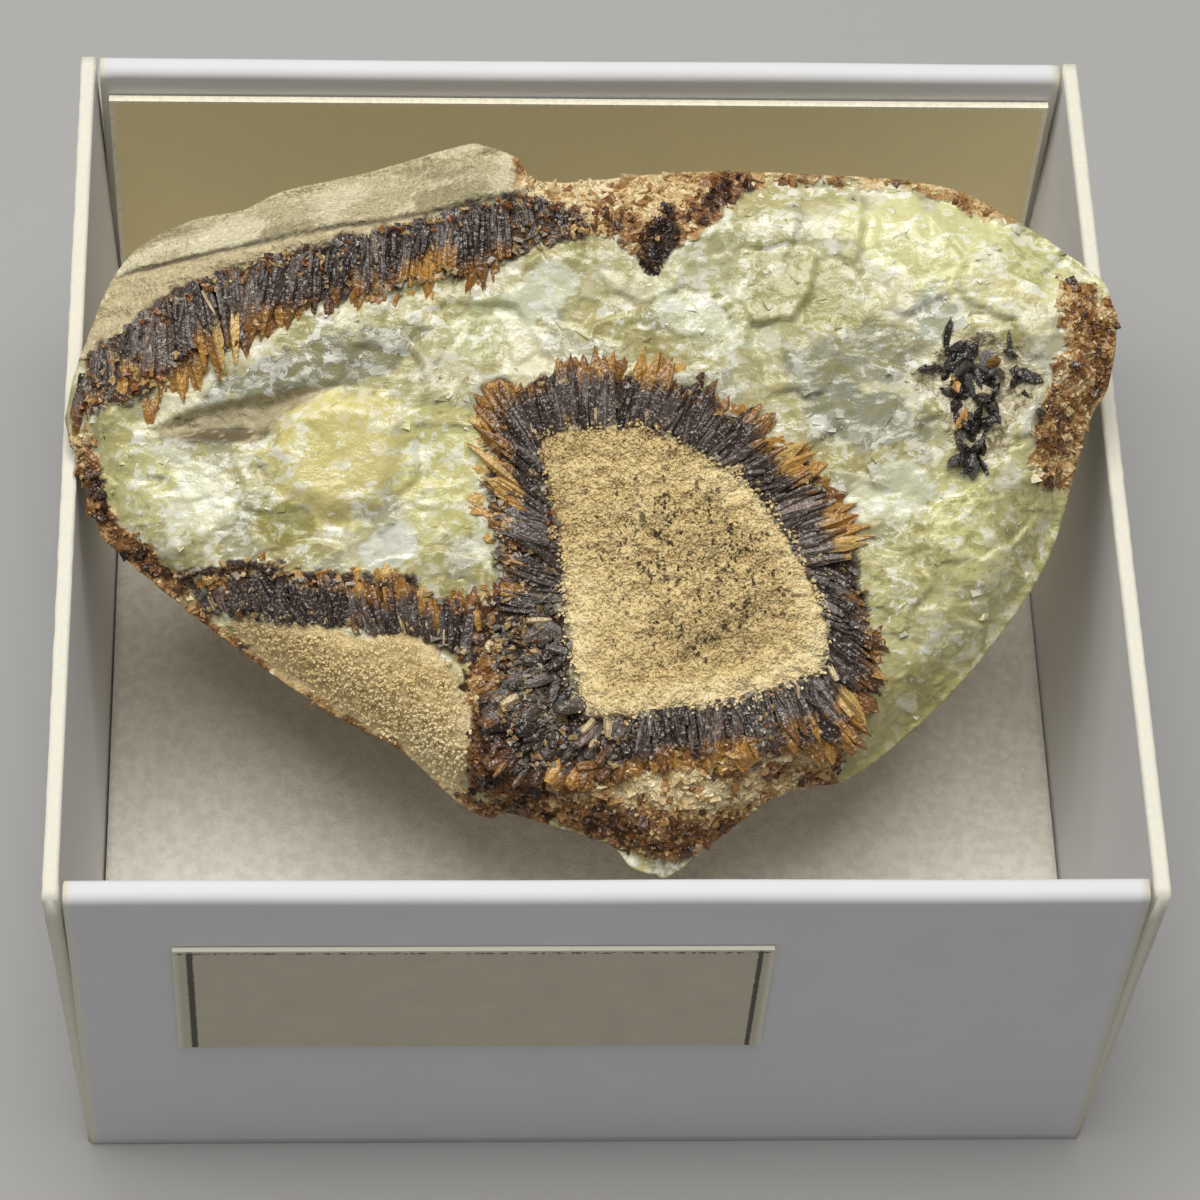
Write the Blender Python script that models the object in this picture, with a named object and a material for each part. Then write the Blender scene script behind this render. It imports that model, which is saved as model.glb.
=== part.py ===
"""A septarian nodule with its broken face up, lying in a small card specimen tray.

The stone is one closed solid. Its broken face is a relief over the plane of the break:
fringes of long crystals around a sandy core and along the rind, broken calcite between
them, granular crusts and a small hollow with free crystals. Below the face the outer side
of the nodule narrows to a small flat spot, which lies on the tray's foam pad.
Lengths are metres, +Z is up and the tray's front wall looks along -Y.
"""

import math

import bmesh
import bpy
from mathutils import Matrix, Vector, geometry, noise

MM = 0.001

# Card tray: the outer size at its floor, and its card.
TRAY_WIDTH = 40.1 * MM
TRAY_DEPTH = 40.0 * MM
TRAY_HEIGHT = 20.0 * MM
CARD = 0.55 * MM
FOLDED_WALL = 1.0 * MM
SIDE_LEAN = 0.65 * MM
RIM_ROUND = 0.42 * MM

# Foam pad on the floor.
FOAM_WIDTH = 39.0 * MM
FOAM_DEPTH = 37.4 * MM
FOAM_BOTTOM = 0.85 * MM
FOAM_TOP = 3.8 * MM

# Card strip against the back wall, and paper strip on the front wall.
NAME_WIDTH = 39.2 * MM
NAME_HEIGHT = 14.5 * MM
NAME_THICKNESS = 0.3 * MM
NUMBER_WIDTH = 22.4 * MM
NUMBER_HEIGHT = 7.7 * MM
NUMBER_THICKNESS = 0.18 * MM
NUMBER_LEFT = -16.1 * MM
NUMBER_TOP = 16.5 * MM
STUCK_GAP = 0.03 * MM

# Clearance kept where the stone lies on the foam and beside the walls.
GAP = 0.3 * MM

# The plane of the break: its centre, and how it is tipped, turned and rolled.
FACE_CENTRE = (0.03 * MM, -3.2 * MM, 21.3 * MM)
FACE_TIP = 33.22
FACE_TURN = -5.7
FACE_ROLL = 4.85

# The stone's contact with the foam, as u and v in the face and w behind it, in mm.
FOOT = (-0.6, -6.3, -17.1)
# Below the rims the stone keeps inside these half widths and depths, in mm.
INNER_X = 19.2
INNER_FRONT = -18.6
INNER_BACK = 17.9
RIM_CLEAR = 20.4

# Every outline below is in millimetres in the face: u to the right, v up the slope.
OUTLINE = [
    (-20.6, 2.7), (-20.6, 3.6), (-20.0, 5.8), (-18.4, 9.3), (-16.1, 10.8),
    (-13.9, 11.3), (-12.4, 12.0), (-9.0, 12.8), (-5.4, 13.8), (-4.5, 13.8),
    (-3.2, 13.3), (-2.0, 12.3), (4.1, 12.7), (12.4, 12.3), (16.1, 10.8),
    (19.2, 8.7), (19.8, 7.6), (20.0, 6.8), (19.7, 4.5), (18.9, 2.9),
    (17.6, -1.7), (16.2, -4.3), (13.8, -7.3), (11.5, -9.5), (9.4, -10.9),
    (6.9, -11.4), (3.0, -14.4), (2.1, -14.5), (1.2, -14.2), (0.3, -13.3),
    (-1.6, -12.7), (-3.6, -12.1), (-4.3, -12.3), (-5.5, -11.7), (-7.8, -9.6),
    (-10.6, -8.1), (-15.0, -5.0), (-19.3, -1.4), (-19.8, -0.5),
]
CORE = [
    (-2.5, 2.2), (-1.2, 2.7), (0.4, 2.9), (2.1, 2.7), (4.0, 1.7), (5.4, 0.7),
    (7.0, -1.0), (8.0, -2.7), (8.8, -4.8), (8.7, -6.4), (6.3, -7.6), (2.1, -8.2),
    (-0.6, -8.2), (-1.2, -6.2), (-1.5, -2.2), (-2.0, 0.4),
]
CORNER_MATRIX = [
    (-14.7, -4.9), (-10.9, -4.9), (-7.3, -5.1), (-5.3, -6.6), (-5.1, -10.0),
    (-5.9, -11.0), (-7.8, -9.2), (-12.7, -6.2),
]
YELLOW_LUMP = [
    (-12.8, 1.9), (-12.1, 3.5), (-10.8, 4.2), (-8.8, 4.1), (-7.3, 3.1),
    (-7.5, 0.8), (-8.4, -0.6), (-10.4, -0.8), (-12.1, 0.0),
]
SLIVER = [(-17.0, 2.8), (-14.0, 4.0), (-10.4, 4.4), (-12.6, 2.5), (-14.9, 2.2)]
HOLLOW = [
    (12.1, 4.5), (13.1, 6.0), (14.8, 6.6), (16.3, 6.0), (17.0, 4.6), (15.9, 2.9),
    (15.4, 1.6), (14.6, 1.2), (13.7, 1.9), (13.3, 3.3),
]
# The crack along which the rind turns over to the nodule's outer side.
RIND_CRACK = [
    (-20.6, 7.9), (-18.7, 8.7), (-16.4, 9.2), (-10.6, 10.4), (-8.5, 10.7),
    (-4.3, 11.5), (-1.8, 12.4),
]

# Each fringe runs between the line it grew from and the line of its tips.
TOP_FRINGE = (
    [(-19.6, 5.4), (-17.1, 7.3), (-13.9, 8.8), (-9.7, 10.0), (-5.4, 11.0), (-2.0, 11.5)],
    [(-19.9, 2.9), (-17.0, 3.3), (-13.9, 4.9), (-9.9, 6.7), (-6.3, 7.4), (-2.0, 8.8)],
)
CORE_FRINGE = (
    [(-2.0, -4.2), (-2.0, -1.4), (-2.8, 1.7), (-2.0, 2.9), (0.4, 3.3), (2.8, 2.8),
     (5.4, 1.4), (7.3, -0.9), (8.7, -3.4), (9.3, -5.4), (8.4, -7.6)],
    [(-4.8, -3.8), (-5.1, -0.4), (-4.9, 3.4), (-3.4, 4.9), (-0.4, 5.8), (3.4, 5.1),
     (7.6, 2.6), (9.7, 0.2), (10.6, -2.6), (11.1, -5.4), (9.7, -9.4)],
)
LOW_FRINGE = (
    [(-15.0, -4.5), (-12.9, -4.6), (-9.7, -4.8), (-7.3, -4.9), (-5.4, -6.2)],
    [(-16.2, -2.4), (-13.8, -1.6), (-10.4, -2.2), (-7.3, -2.5), (-5.0, -3.3)],
)
FRINGE_WIDTH = 0.58
FRINGE_RIDGE = 0.45

# Broken calcite: size of its facets, their steps and their tilt.
FACET_SIZE = 2.3
FACET_STEP = 0.42
FACET_TILT = 0.24

# Crystals that stand free: place u and v, direction in degrees, length and width.
FREE_CRYSTALS = [
    (14.3, 5.3, 75, 1.9, 0.75), (13.6, 4.7, 150, 1.5, 0.6), (15.4, 5.0, 25, 1.8, 0.7),
    (14.9, 4.3, -40, 1.4, 0.6), (16.0, 4.3, 5, 1.3, 0.55), (14.2, 3.9, -100, 1.2, 0.6),
    (14.5, 2.8, -95, 1.7, 0.65), (15.0, 2.1, -60, 1.2, 0.5), (13.1, 4.1, 190, 1.3, 0.45),
]
CRYSTAL_RISE = 32.0


def material(name, rgb, roughness):
    """Return a Principled material in one colour."""
    mat = bpy.data.materials.new(name)
    mat.use_nodes = True
    shader = mat.node_tree.nodes["Principled BSDF"]
    shader.inputs["Base Color"].default_value = (*rgb, 1.0)
    shader.inputs["Roughness"].default_value = roughness
    shader.inputs["Metallic"].default_value = 0.0
    return mat


def add_object(name, mesh, mat):
    """Put a mesh in the scene under its name, in its material."""
    mesh.materials.append(mat)
    obj = bpy.data.objects.new(name, mesh)
    bpy.context.scene.collection.objects.link(obj)
    return obj


def smooth_line(points, count, closed=False):
    """Points at even steps along a Catmull-Rom curve through the given ones."""
    total = len(points)
    fine = []
    spans = total if closed else total - 1
    for i in range(spans):
        picks = []
        for k in (i - 1, i, i + 1, i + 2):
            k = k % total if closed else min(max(k, 0), total - 1)
            picks.append(Vector(points[k]))
        a, b, c, d = picks
        for step in range(12):
            t = step / 12
            fine.append(
                0.5
                * (
                    2 * b
                    + (c - a) * t
                    + (2 * a - 5 * b + 4 * c - d) * t * t
                    + (3 * b - a - 3 * c + d) * t ** 3
                )
            )
    fine.append(fine[0].copy() if closed else Vector(points[-1]))
    lengths = [0.0]
    for a, b in zip(fine, fine[1:]):
        lengths.append(lengths[-1] + (b - a).length)
    wanted = count if closed else count - 1
    result = []
    j = 0
    for n in range(count):
        target = lengths[-1] * n / wanted
        while j < len(lengths) - 2 and lengths[j + 1] < target:
            j += 1
        span = max(lengths[j + 1] - lengths[j], 1e-9)
        result.append(fine[j].lerp(fine[j + 1], (target - lengths[j]) / span))
    return result


def inside(point, outline):
    """Whether a point of the face lies inside a closed outline."""
    x, y = point
    hit = False
    for (ax, ay), (bx, by) in zip(outline, outline[1:] + outline[:1]):
        if (ay > y) != (by > y) and x < (bx - ax) * (y - ay) / (by - ay) + ax:
            hit = not hit
    return hit


def distance(point, line, closed=True):
    """Distance from a point of the face to an outline or an open line."""
    p = Vector(point)
    pairs = zip(line, line[1:] + line[:1]) if closed else zip(line, line[1:])
    best = 1e9
    for a, b in pairs:
        a, b = Vector(a), Vector(b)
        along = b - a
        t = max(0.0, min(1.0, (p - a).dot(along) / max(along.length_squared, 1e-9)))
        best = min(best, (p - a - along * t).length)
    return best


def band_outline(band):
    """The closed outline of a fringe."""
    return band[0] + band[1][::-1]


def beyond_crack(u, v):
    """How far a point lies past the crack, on the nodule's outer side."""
    line = RIND_CRACK
    if u <= line[0][0] or u >= line[-1][0]:
        return 0.0
    for (ax, ay), (bx, by) in zip(line, line[1:]):
        if ax <= u <= bx:
            return max(0.0, v - (ay + (by - ay) * (u - ax) / (bx - ax)))
    return 0.0


def broad_relief(u, v):
    """Height of the broken face without its crystals, in mm above its plane."""
    edge = distance((u, v), OUTLINE)
    height = 0.45 - 1.5 * math.exp(-((edge / 1.3) ** 2))
    height += 0.45 * noise.noise(Vector((u * 0.16, v * 0.16, 3.1)))
    height -= 0.9 * min(1.0, beyond_crack(u, v) / 1.6)
    height -= 0.8 * max(0.0, min(1.0, (-9.5 - v) / 3.5))
    height -= 0.9 * max(0.0, min(1.0, (u - 0.9 * v - 14.5) / 6.0))
    return height


def zone(u, v):
    """Name of the part of the face a point lies in."""
    point = (u, v)
    if inside(point, CORE):
        return "core"
    if inside(point, HOLLOW):
        return "hollow"
    if inside(point, SLIVER):
        return "sliver"
    if inside(point, YELLOW_LUMP):
        return "lump"
    if inside(point, CORNER_MATRIX):
        return "matrix"
    if v > 7.0 and u < -1.5:
        return "rind"
    if u > 16.6 and v < 8.5 and distance(point, OUTLINE) < 1.9 and v > 0.5:
        return "crust"
    if -4.0 < u < 9.0 and v < -8.0:
        return "crust"
    if -5.2 < u < -1.0 and v < -4.0:
        return "crust"
    if -2.3 < u < 5.0 and v > 10.2:
        return "crust"
    return "calcite"


ROUGHNESS = {
    "core": 0.1, "hollow": 0.5, "sliver": 0.12, "lump": 0.2, "matrix": 0.12,
    "rind": 0.2, "crust": 0.42,
}
LEVEL = {
    "core": 0.15, "hollow": -1.5, "sliver": -0.7, "lump": 0.55, "matrix": -0.1,
    "rind": 0.0, "crust": 0.0,
}


def scatter(x, y, z):
    """Three small numbers for a place, the same in every run (noise_vector's are not)."""
    spots = ((9.32, -1.53, -7.95), (0.37, 0.61, 0.23), (6.33, 0.17, -2.67))
    return Vector([noise.noise(Vector((x + a, y + b, z + c))) for a, b, c in spots])


def facet(u, v):
    """Height of the flat broken piece of calcite that a point belongs to."""
    best = (1e9, 0.0)
    column = math.floor(u / FACET_SIZE)
    row = math.floor(v / FACET_SIZE)
    for i in range(column - 1, column + 2):
        for j in range(row - 1, row + 2):
            rnd = scatter(i * 5.31 + 0.7, j * 3.77 + 0.3, 2.9)
            su = (i + 0.5 + 0.9 * rnd.x) * FACET_SIZE
            sv = (j + 0.5 + 0.9 * rnd.y) * FACET_SIZE
            gap = (u - su) ** 2 + (v - sv) ** 2
            if gap < best[0]:
                tilt = scatter(i * 2.13, j * 4.41, 8.8)
                lift = FACET_STEP * 2.0 * rnd.z
                lift += FACET_TILT * 2.0 * (tilt.x * (u - su) + tilt.y * (v - sv))
                best = (gap, lift)
    return best[1]


def face_height(u, v):
    """Height of the broken face at a point, with its lumps, facets and hollows."""
    name = zone(u, v)
    if name == "calcite":
        grain = noise.noise(Vector((u * 1.9, v * 1.9, 7.7)))
        return broad_relief(u, v) + facet(u, v) + 0.1 * grain
    grain = noise.noise(Vector((u * 1.9, v * 1.9, 7.7)))
    broad = noise.noise(Vector((u * 0.7, v * 0.7, 1.3)))
    return (
        broad_relief(u, v)
        + LEVEL[name]
        + ROUGHNESS[name] * (1.1 * grain + 0.7 * broad)
    )


def grid_points():
    """Slightly shifted rows of points that carry the facets between the fringes."""
    bands = [band_outline(b) for b in (TOP_FRINGE, CORE_FRINGE, LOW_FRINGE)]
    points = []
    row = 0
    v = -14.4
    while v < 13.8:
        u = -20.4 + (0.43 if row % 2 else 0.0)
        while u < 20.2:
            shift = scatter(u * 3.7, v * 3.7, 0.4)
            p = (u + 0.3 * shift.x, v + 0.3 * shift.y)
            clear = inside(p, OUTLINE) and distance(p, OUTLINE) > 0.6
            for band in bands:
                clear = clear and not inside(p, band) and distance(p, band) > 0.4
            if clear:
                points.append((p[0], p[1], face_height(*p)))
            u += 0.86
        row += 1
        v += 0.78
    return points


def fringe_points(band):
    """Points and ridge lines of the crystals that make up one fringe."""
    base, tips = band
    steps = 240
    fine = smooth_line(tips, steps)
    length = sum((b - a).length for a, b in zip(fine, fine[1:]))
    columns = 2 * int(length / FRINGE_WIDTH) + 1
    low = smooth_line(base, columns)
    high = smooth_line(tips, columns)
    points, lines = [], []
    for i, (a, b) in enumerate(zip(low, high)):
        crystal = i % 2 == 1
        wobble = noise.noise(Vector((a.x * 2.3, a.y * 2.3, 5.5)))
        reach = 0.96 + 0.2 * wobble if crystal else 0.72 + 0.12 * wobble
        rise = FRINGE_RIDGE * (1.0 + 0.8 * wobble) if crystal else -0.25
        for t, share in ((0.06, 0.5), (reach * 0.62, 1.0), (reach, 0.35)):
            p = a.lerp(b, t)
            lift = rise * share if crystal else rise
            points.append((p.x, p.y, broad_relief(p.x, p.y) + lift))
        first = len(points) - 3
        lines.append((first, first + 1))
        lines.append((first + 1, first + 2))
    return points, lines


def stone_mesh():
    """The whole nodule as one closed mesh in the face's own axes, in metres."""
    turn = face_rotation()
    centre = Vector(FACE_CENTRE) / MM
    rim = smooth_line(OUTLINE, 104, closed=True)
    points = []
    for p in rim:
        drop = 0.7 + 0.35 * noise.noise(Vector((p.x * 0.5, p.y * 0.5, 9.0)))
        points.append((p.x, p.y, broad_relief(p.x, p.y) - drop * 0.4))
    edges = [(i, (i + 1) % len(rim)) for i in range(len(rim))]
    for band in (TOP_FRINGE, CORE_FRINGE, LOW_FRINGE):
        more, lines = fringe_points(band)
        first = len(points)
        keep = {}
        for i, p in enumerate(more):
            if inside(p[:2], OUTLINE) and distance(p[:2], OUTLINE) > 0.25:
                keep[i] = len(points)
                points.append(p)
        edges += [(keep[a], keep[b]) for a, b in lines if a in keep and b in keep]
        assert len(points) > first
    points += grid_points()
    flat = [Vector(p[:2]) for p in points]
    made = geometry.delaunay_2d_cdt(flat, edges, [], 1, 1e-5)
    verts2d, _, faces, origin = made[0], made[1], made[2], made[3]
    heights = []
    for p, source in zip(verts2d, origin):
        heights.append(points[source[0]][2] if source else face_height(p.x, p.y))
    bm = bmesh.new()
    top = [bm.verts.new((p.x, p.y, h)) for p, h in zip(verts2d, heights)]
    for face in faces:
        bm.faces.new([top[i] for i in face])
    bm.normal_update()
    rim_loop = rim_in_order(bm, rim)
    build_underside(bm, rim_loop)
    bmesh.ops.triangulate(bm, faces=bm.faces[:])
    for vert in bm.verts:
        vert.co = kept_in_tray(vert.co, turn, centre)
    bmesh.ops.recalc_face_normals(bm, faces=bm.faces[:])
    bmesh.ops.scale(bm, vec=(MM, MM, MM), verts=bm.verts[:])
    mesh = bpy.data.meshes.new("nodule")
    bm.to_mesh(mesh)
    bm.free()
    return mesh


def rim_in_order(bm, rim):
    """The boundary vertices of the face, in the outline's order."""
    loose = {e for e in bm.edges if len(e.link_faces) == 1}
    start = next(iter(sorted(loose, key=lambda e: e.index)))
    loop = [start.verts[0], start.verts[1]]
    used = {start}
    while True:
        ahead = [e for e in loop[-1].link_edges if e in loose and e not in used]
        if not ahead:
            break
        used.add(ahead[0])
        loop.append(ahead[0].other_vert(loop[-1]))
    if loop[0] is loop[-1]:
        loop.pop()
    assert len(loop) >= len(rim)
    return loop


def rounded(loop, times):
    """The places of a loop of points after some rounds of evening out."""
    places = [Vector(p) for p in loop]
    for _ in range(times):
        n = len(places)
        places = [
            places[i] * 0.5 + (places[i - 1] + places[(i + 1) % n]) * 0.25
            for i in range(n)
        ]
    return places


def build_underside(bm, loop):
    """Rings from the face's rim, narrowing to the foot, and the foot itself."""
    foot = Vector(FOOT)
    rings = (4, 9, 15, 22, 29, 36, 43, 50, 57, 64, 71, 77, 83)
    rim = [v.co.copy() for v in loop]
    before = loop
    for number, angle in enumerate(rings):
        a = math.radians(angle)
        ring = []
        for place in rounded(rim, number * 3):
            spread = place - foot
            spot = Vector((place.x * 0.2, place.y * 0.2, angle * 0.05))
            lump = noise.noise(spot)
            pit = noise.noise(spot * 3.1 + Vector((4.0, 0.0, 0.0)))
            ledge = abs(noise.noise(spot * 1.7 + Vector((0.0, 9.0, 0.0))))
            shape = 1.0 + math.sin(2 * a) * (0.16 * lump + 0.05 * pit - 0.1 * ledge)
            narrow = math.cos(a) ** 0.84 * shape
            depth = math.sin(a) ** 0.92
            ring.append(
                bm.verts.new(
                    (
                        foot.x + spread.x * narrow,
                        foot.y + spread.y * narrow,
                        place.z + (foot.z - place.z) * depth,
                    )
                )
            )
        for i in range(len(ring)):
            j = (i + 1) % len(ring)
            bm.faces.new((before[i], before[j], ring[j], ring[i]))
        before = ring
    end = bm.verts.new(foot)
    for i in range(len(before)):
        bm.faces.new((before[i], before[(i + 1) % len(before)], end))


def kept_in_tray(point, turn, centre):
    """Move a point of the stone clear of the foam and, below the rims, of the walls."""
    place = turn @ point + centre
    floor = FOAM_TOP / MM + GAP / MM
    open_above = max(0.0, min(1.0, (place.z - RIM_CLEAR) / 0.5))
    limit = INNER_X + 2.6 * open_above
    back = INNER_BACK + 6.0 * open_above
    place.x = max(-limit, min(limit, place.x))
    place.y = max(INNER_FRONT, min(back, place.y))
    place.z = max(floor, place.z)
    return turn.inverted() @ (place - centre)


def face_rotation():
    """Rotation from the face's axes to the tray's."""
    turn = Matrix.Rotation(math.radians(FACE_TURN), 3, "Z")
    tip = Matrix.Rotation(math.radians(FACE_TIP), 3, "X")
    roll = Matrix.Rotation(math.radians(FACE_ROLL), 3, "Z")
    return turn @ tip @ roll


def crystal_mesh(index, crystal):
    """A short six-sided crystal with a sloping end, standing out of the hollow."""
    u, v, direction, length, width = crystal
    bm = bmesh.new()
    bmesh.ops.create_cone(
        bm,
        cap_ends=True,
        segments=6,
        radius1=width / 2,
        radius2=width / 2 * 0.93,
        depth=length + 1.0,
    )
    tip = (length + 1.0) / 2
    for vert in bm.verts:
        if vert.co.z > 0:
            vert.co.z = tip - 0.45 * (vert.co.x + width / 2) - 0.06 * (index % 3)
    turn = Matrix.Rotation(math.radians(direction), 3, "Z")
    lean = Matrix.Rotation(math.radians(90.0 - CRYSTAL_RISE), 3, "Y")
    bmesh.ops.rotate(bm, matrix=turn @ lean, verts=bm.verts[:])
    base = Vector((u, v, broad_relief(u, v) + LEVEL["hollow"] + 0.35))
    bmesh.ops.translate(bm, vec=base, verts=bm.verts[:])
    bmesh.ops.scale(bm, vec=(MM, MM, MM), verts=bm.verts[:])
    bmesh.ops.triangulate(bm, faces=bm.faces[:])
    mesh = bpy.data.meshes.new("free_crystal")
    bm.to_mesh(mesh)
    bm.free()
    return mesh


def make_nodule():
    """The stone, placed by its face, with the free crystals grown on it."""
    mat = material("stone", (0.55, 0.52, 0.30), 0.5)
    stone = add_object("nodule", stone_mesh(), mat)
    stone.location = FACE_CENTRE
    stone.rotation_euler = face_rotation().to_euler()
    for index, crystal in enumerate(FREE_CRYSTALS):
        name = "free_crystal_%d" % (index + 1)
        grown = cutting_object(name, crystal_mesh(index, crystal))
        grown.location = stone.location
        grown.rotation_euler = stone.rotation_euler
        union(stone, grown)
    return stone


def leaning_slab(bm, outer_low, outer_high, inner_low, inner_high, depth, height):
    """One side wall: a slab that leans out towards its rim."""
    verts = []
    for y in (-depth / 2, depth / 2):
        for x, z in (
            (outer_low, 0.0),
            (outer_high, height),
            (inner_high, height),
            (inner_low, 0.0),
        ):
            verts.append(bm.verts.new((x, y, z)))
    for quad in ((0, 1, 2, 3), (7, 6, 5, 4), (0, 4, 5, 1), (1, 5, 6, 2), (2, 6, 7, 3)):
        bm.faces.new([verts[i] for i in quad])
    bm.faces.new([verts[i] for i in (3, 7, 4, 0)])
    bmesh.ops.recalc_face_normals(bm, faces=bm.faces[:])


def box_mesh(name, low, high):
    """A plain box between two corners."""
    mesh = bpy.data.meshes.new(name)
    bm = bmesh.new()
    bmesh.ops.create_cube(bm, size=1.0)
    size = [h - l for l, h in zip(low, high)]
    middle = [(h + l) / 2 for l, h in zip(low, high)]
    bmesh.ops.scale(bm, vec=size, verts=bm.verts[:])
    bmesh.ops.translate(bm, vec=middle, verts=bm.verts[:])
    bm.to_mesh(mesh)
    bm.free()
    return mesh


def cutting_object(name, mesh):
    """A helper solid that is only used by a Boolean."""
    obj = bpy.data.objects.new(name, mesh)
    bpy.context.scene.collection.objects.link(obj)
    obj.hide_render = True
    obj.display_type = "WIRE"
    return obj


def union(target, tool):
    """Join a helper solid to an object."""
    step = target.modifiers.new("join_" + tool.name, "BOOLEAN")
    step.operation = "UNION"
    step.solver = "EXACT"
    step.object = tool


def make_tray():
    """Floor, two leaning side walls of single card, and two folded walls between them."""
    card = material("white_card", (0.80, 0.80, 0.82), 0.85)
    half = TRAY_WIDTH / 2
    floor_low = (-half + 0.05 * MM, -TRAY_DEPTH / 2 + 0.02 * MM, 0.0)
    floor_high = (half - 0.05 * MM, TRAY_DEPTH / 2 - 0.02 * MM, CARD)
    tray = add_object("card_tray", box_mesh("card_tray", floor_low, floor_high), card)
    for side in (-1, 1):
        bm = bmesh.new()
        leaning_slab(
            bm,
            side * half,
            side * (half + SIDE_LEAN),
            side * (half - CARD),
            side * (half + SIDE_LEAN - CARD),
            TRAY_DEPTH - 0.3 * MM,
            TRAY_HEIGHT - 0.05 * MM,
        )
        mesh = bpy.data.meshes.new("side_wall")
        bm.to_mesh(mesh)
        bm.free()
        union(tray, cutting_object("side_wall_%d" % (side + 1), mesh))
        outer = side * TRAY_DEPTH / 2
        inner = side * (TRAY_DEPTH / 2 - FOLDED_WALL)
        end = half - 0.12 * MM
        low = (-end, min(outer, inner), 0.0)
        high = (end, max(outer, inner), TRAY_HEIGHT)
        wall = cutting_object("folded_wall_%d" % (side + 1), box_mesh("wall", low, high))
        round_rim(wall)
        union(tray, wall)
    return tray


def round_rim(wall):
    """Round the long upper edges of a folded wall."""
    bm = bmesh.new()
    bm.from_mesh(wall.data)
    rims = []
    for edge in bm.edges:
        a, b = (v.co for v in edge.verts)
        if min(a.z, b.z) > TRAY_HEIGHT - 0.01 * MM and abs(a.x - b.x) > MM:
            rims.append(edge)
    bmesh.ops.bevel(
        bm,
        geom=rims,
        offset=RIM_ROUND,
        segments=3,
        profile=0.5,
        affect="EDGES",
    )
    bm.to_mesh(wall.data)
    bm.free()


def make_foam():
    """The pad under the stone."""
    foam = material("white_foam", (0.78, 0.77, 0.72), 0.95)
    low = (-FOAM_WIDTH / 2, -FOAM_DEPTH / 2, FOAM_BOTTOM)
    high = (FOAM_WIDTH / 2, FOAM_DEPTH / 2, FOAM_TOP)
    return add_object("foam_pad", box_mesh("foam_pad", low, high), foam)


def make_name_label():
    """The bare card strip that stands on the foam against the back wall."""
    card = material("cream_card", (0.62, 0.54, 0.34), 0.8)
    back = TRAY_DEPTH / 2 - FOLDED_WALL - 0.08 * MM
    bottom = FOAM_TOP + GAP
    low = (-NAME_WIDTH / 2, back - NAME_THICKNESS, bottom)
    high = (NAME_WIDTH / 2, back, bottom + NAME_HEIGHT)
    return add_object("name_label", box_mesh("name_label", low, high), card)


def make_number_label():
    """The bare paper strip on the outside of the front wall."""
    paper = material("grey_paper", (0.60, 0.57, 0.48), 0.8)
    front = -TRAY_DEPTH / 2 - STUCK_GAP
    low = (NUMBER_LEFT, front - NUMBER_THICKNESS, NUMBER_TOP - NUMBER_HEIGHT)
    high = (NUMBER_LEFT + NUMBER_WIDTH, front, NUMBER_TOP)
    return add_object("number_label", box_mesh("number_label", low, high), paper)


def main():
    for obj in list(bpy.data.objects):
        bpy.data.objects.remove(obj, do_unlink=True)
    make_tray()
    make_foam()
    make_name_label()
    make_number_label()
    make_nodule()
    bpy.context.view_layer.update()


main()
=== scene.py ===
"""Dressed model of a septarian nodule lying in a small card specimen tray.

The nodule's broken face is worked out over the plane of the break, in millimetres, with u to
the right and v up the slope, and then placed in the tray. Its crystals are grown on that face.
"""

import logging
import math
from collections.abc import Sequence
from dataclasses import dataclass, field
from enum import Enum

import bmesh
import bpy
import numpy as np
from mathutils import Matrix, Vector, noise


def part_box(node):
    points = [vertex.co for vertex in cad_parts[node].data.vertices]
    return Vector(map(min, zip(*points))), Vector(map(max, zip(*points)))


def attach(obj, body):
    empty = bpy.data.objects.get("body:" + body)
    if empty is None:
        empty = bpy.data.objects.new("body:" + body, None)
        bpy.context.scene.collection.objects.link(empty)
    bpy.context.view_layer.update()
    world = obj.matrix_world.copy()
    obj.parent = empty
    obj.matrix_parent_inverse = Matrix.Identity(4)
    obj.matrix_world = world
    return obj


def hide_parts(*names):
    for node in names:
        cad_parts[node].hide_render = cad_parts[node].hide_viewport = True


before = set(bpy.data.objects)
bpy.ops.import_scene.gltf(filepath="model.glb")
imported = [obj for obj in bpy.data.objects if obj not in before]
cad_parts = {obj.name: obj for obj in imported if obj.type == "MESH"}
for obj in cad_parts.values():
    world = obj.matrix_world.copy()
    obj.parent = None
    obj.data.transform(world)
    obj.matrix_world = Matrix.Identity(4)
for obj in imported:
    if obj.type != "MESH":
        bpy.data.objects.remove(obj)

LOG = logging.getLogger("nodule_in_tray")
MM = 0.001
FULL_TURN = 6.28
Pairs = Sequence[tuple[float, float]]
Triple = tuple[float, float, float]
Tone = Triple


def tone(red: float, green: float, blue: float) -> Tone:
    """Turn a screen colour into the linear one that shaders take.

    Args:
        red: red from 0 to 255.
        green: green from 0 to 255.
        blue: blue from 0 to 255.

    Returns:
        The three linear values.
    """
    return tuple(
        c / 12.92 if c <= 0.04045 else ((c + 0.055) / 1.055) ** 2.4
        for c in (red / 255, green / 255, blue / 255)
    )


def grain(uv: np.ndarray, scale: float, level: float) -> np.ndarray:
    """Smooth repeatable noise over points of the face.

    Args:
        uv: points, one a row.
        scale: how many swells there are to a millimetre.
        level: which sheet of the noise is read.

    Returns:
        One value from about -1 to 1 for each point.
    """
    rows = (uv[:, :2] * scale).tolist()
    return np.array([noise.noise((a, b, level)) for a, b in rows])


def solid_noise(rows: np.ndarray) -> np.ndarray:
    """Smooth repeatable noise at points in space."""
    return np.array([noise.noise(p) for p in rows.tolist()])


def step(values: np.ndarray, low: float, high: float) -> np.ndarray:
    """Smooth rise from 0 at low to 1 at high."""
    t = np.clip((values - low) / (high - low), 0.0, 1.0)
    return t * t * (3.0 - 2.0 * t)


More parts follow.
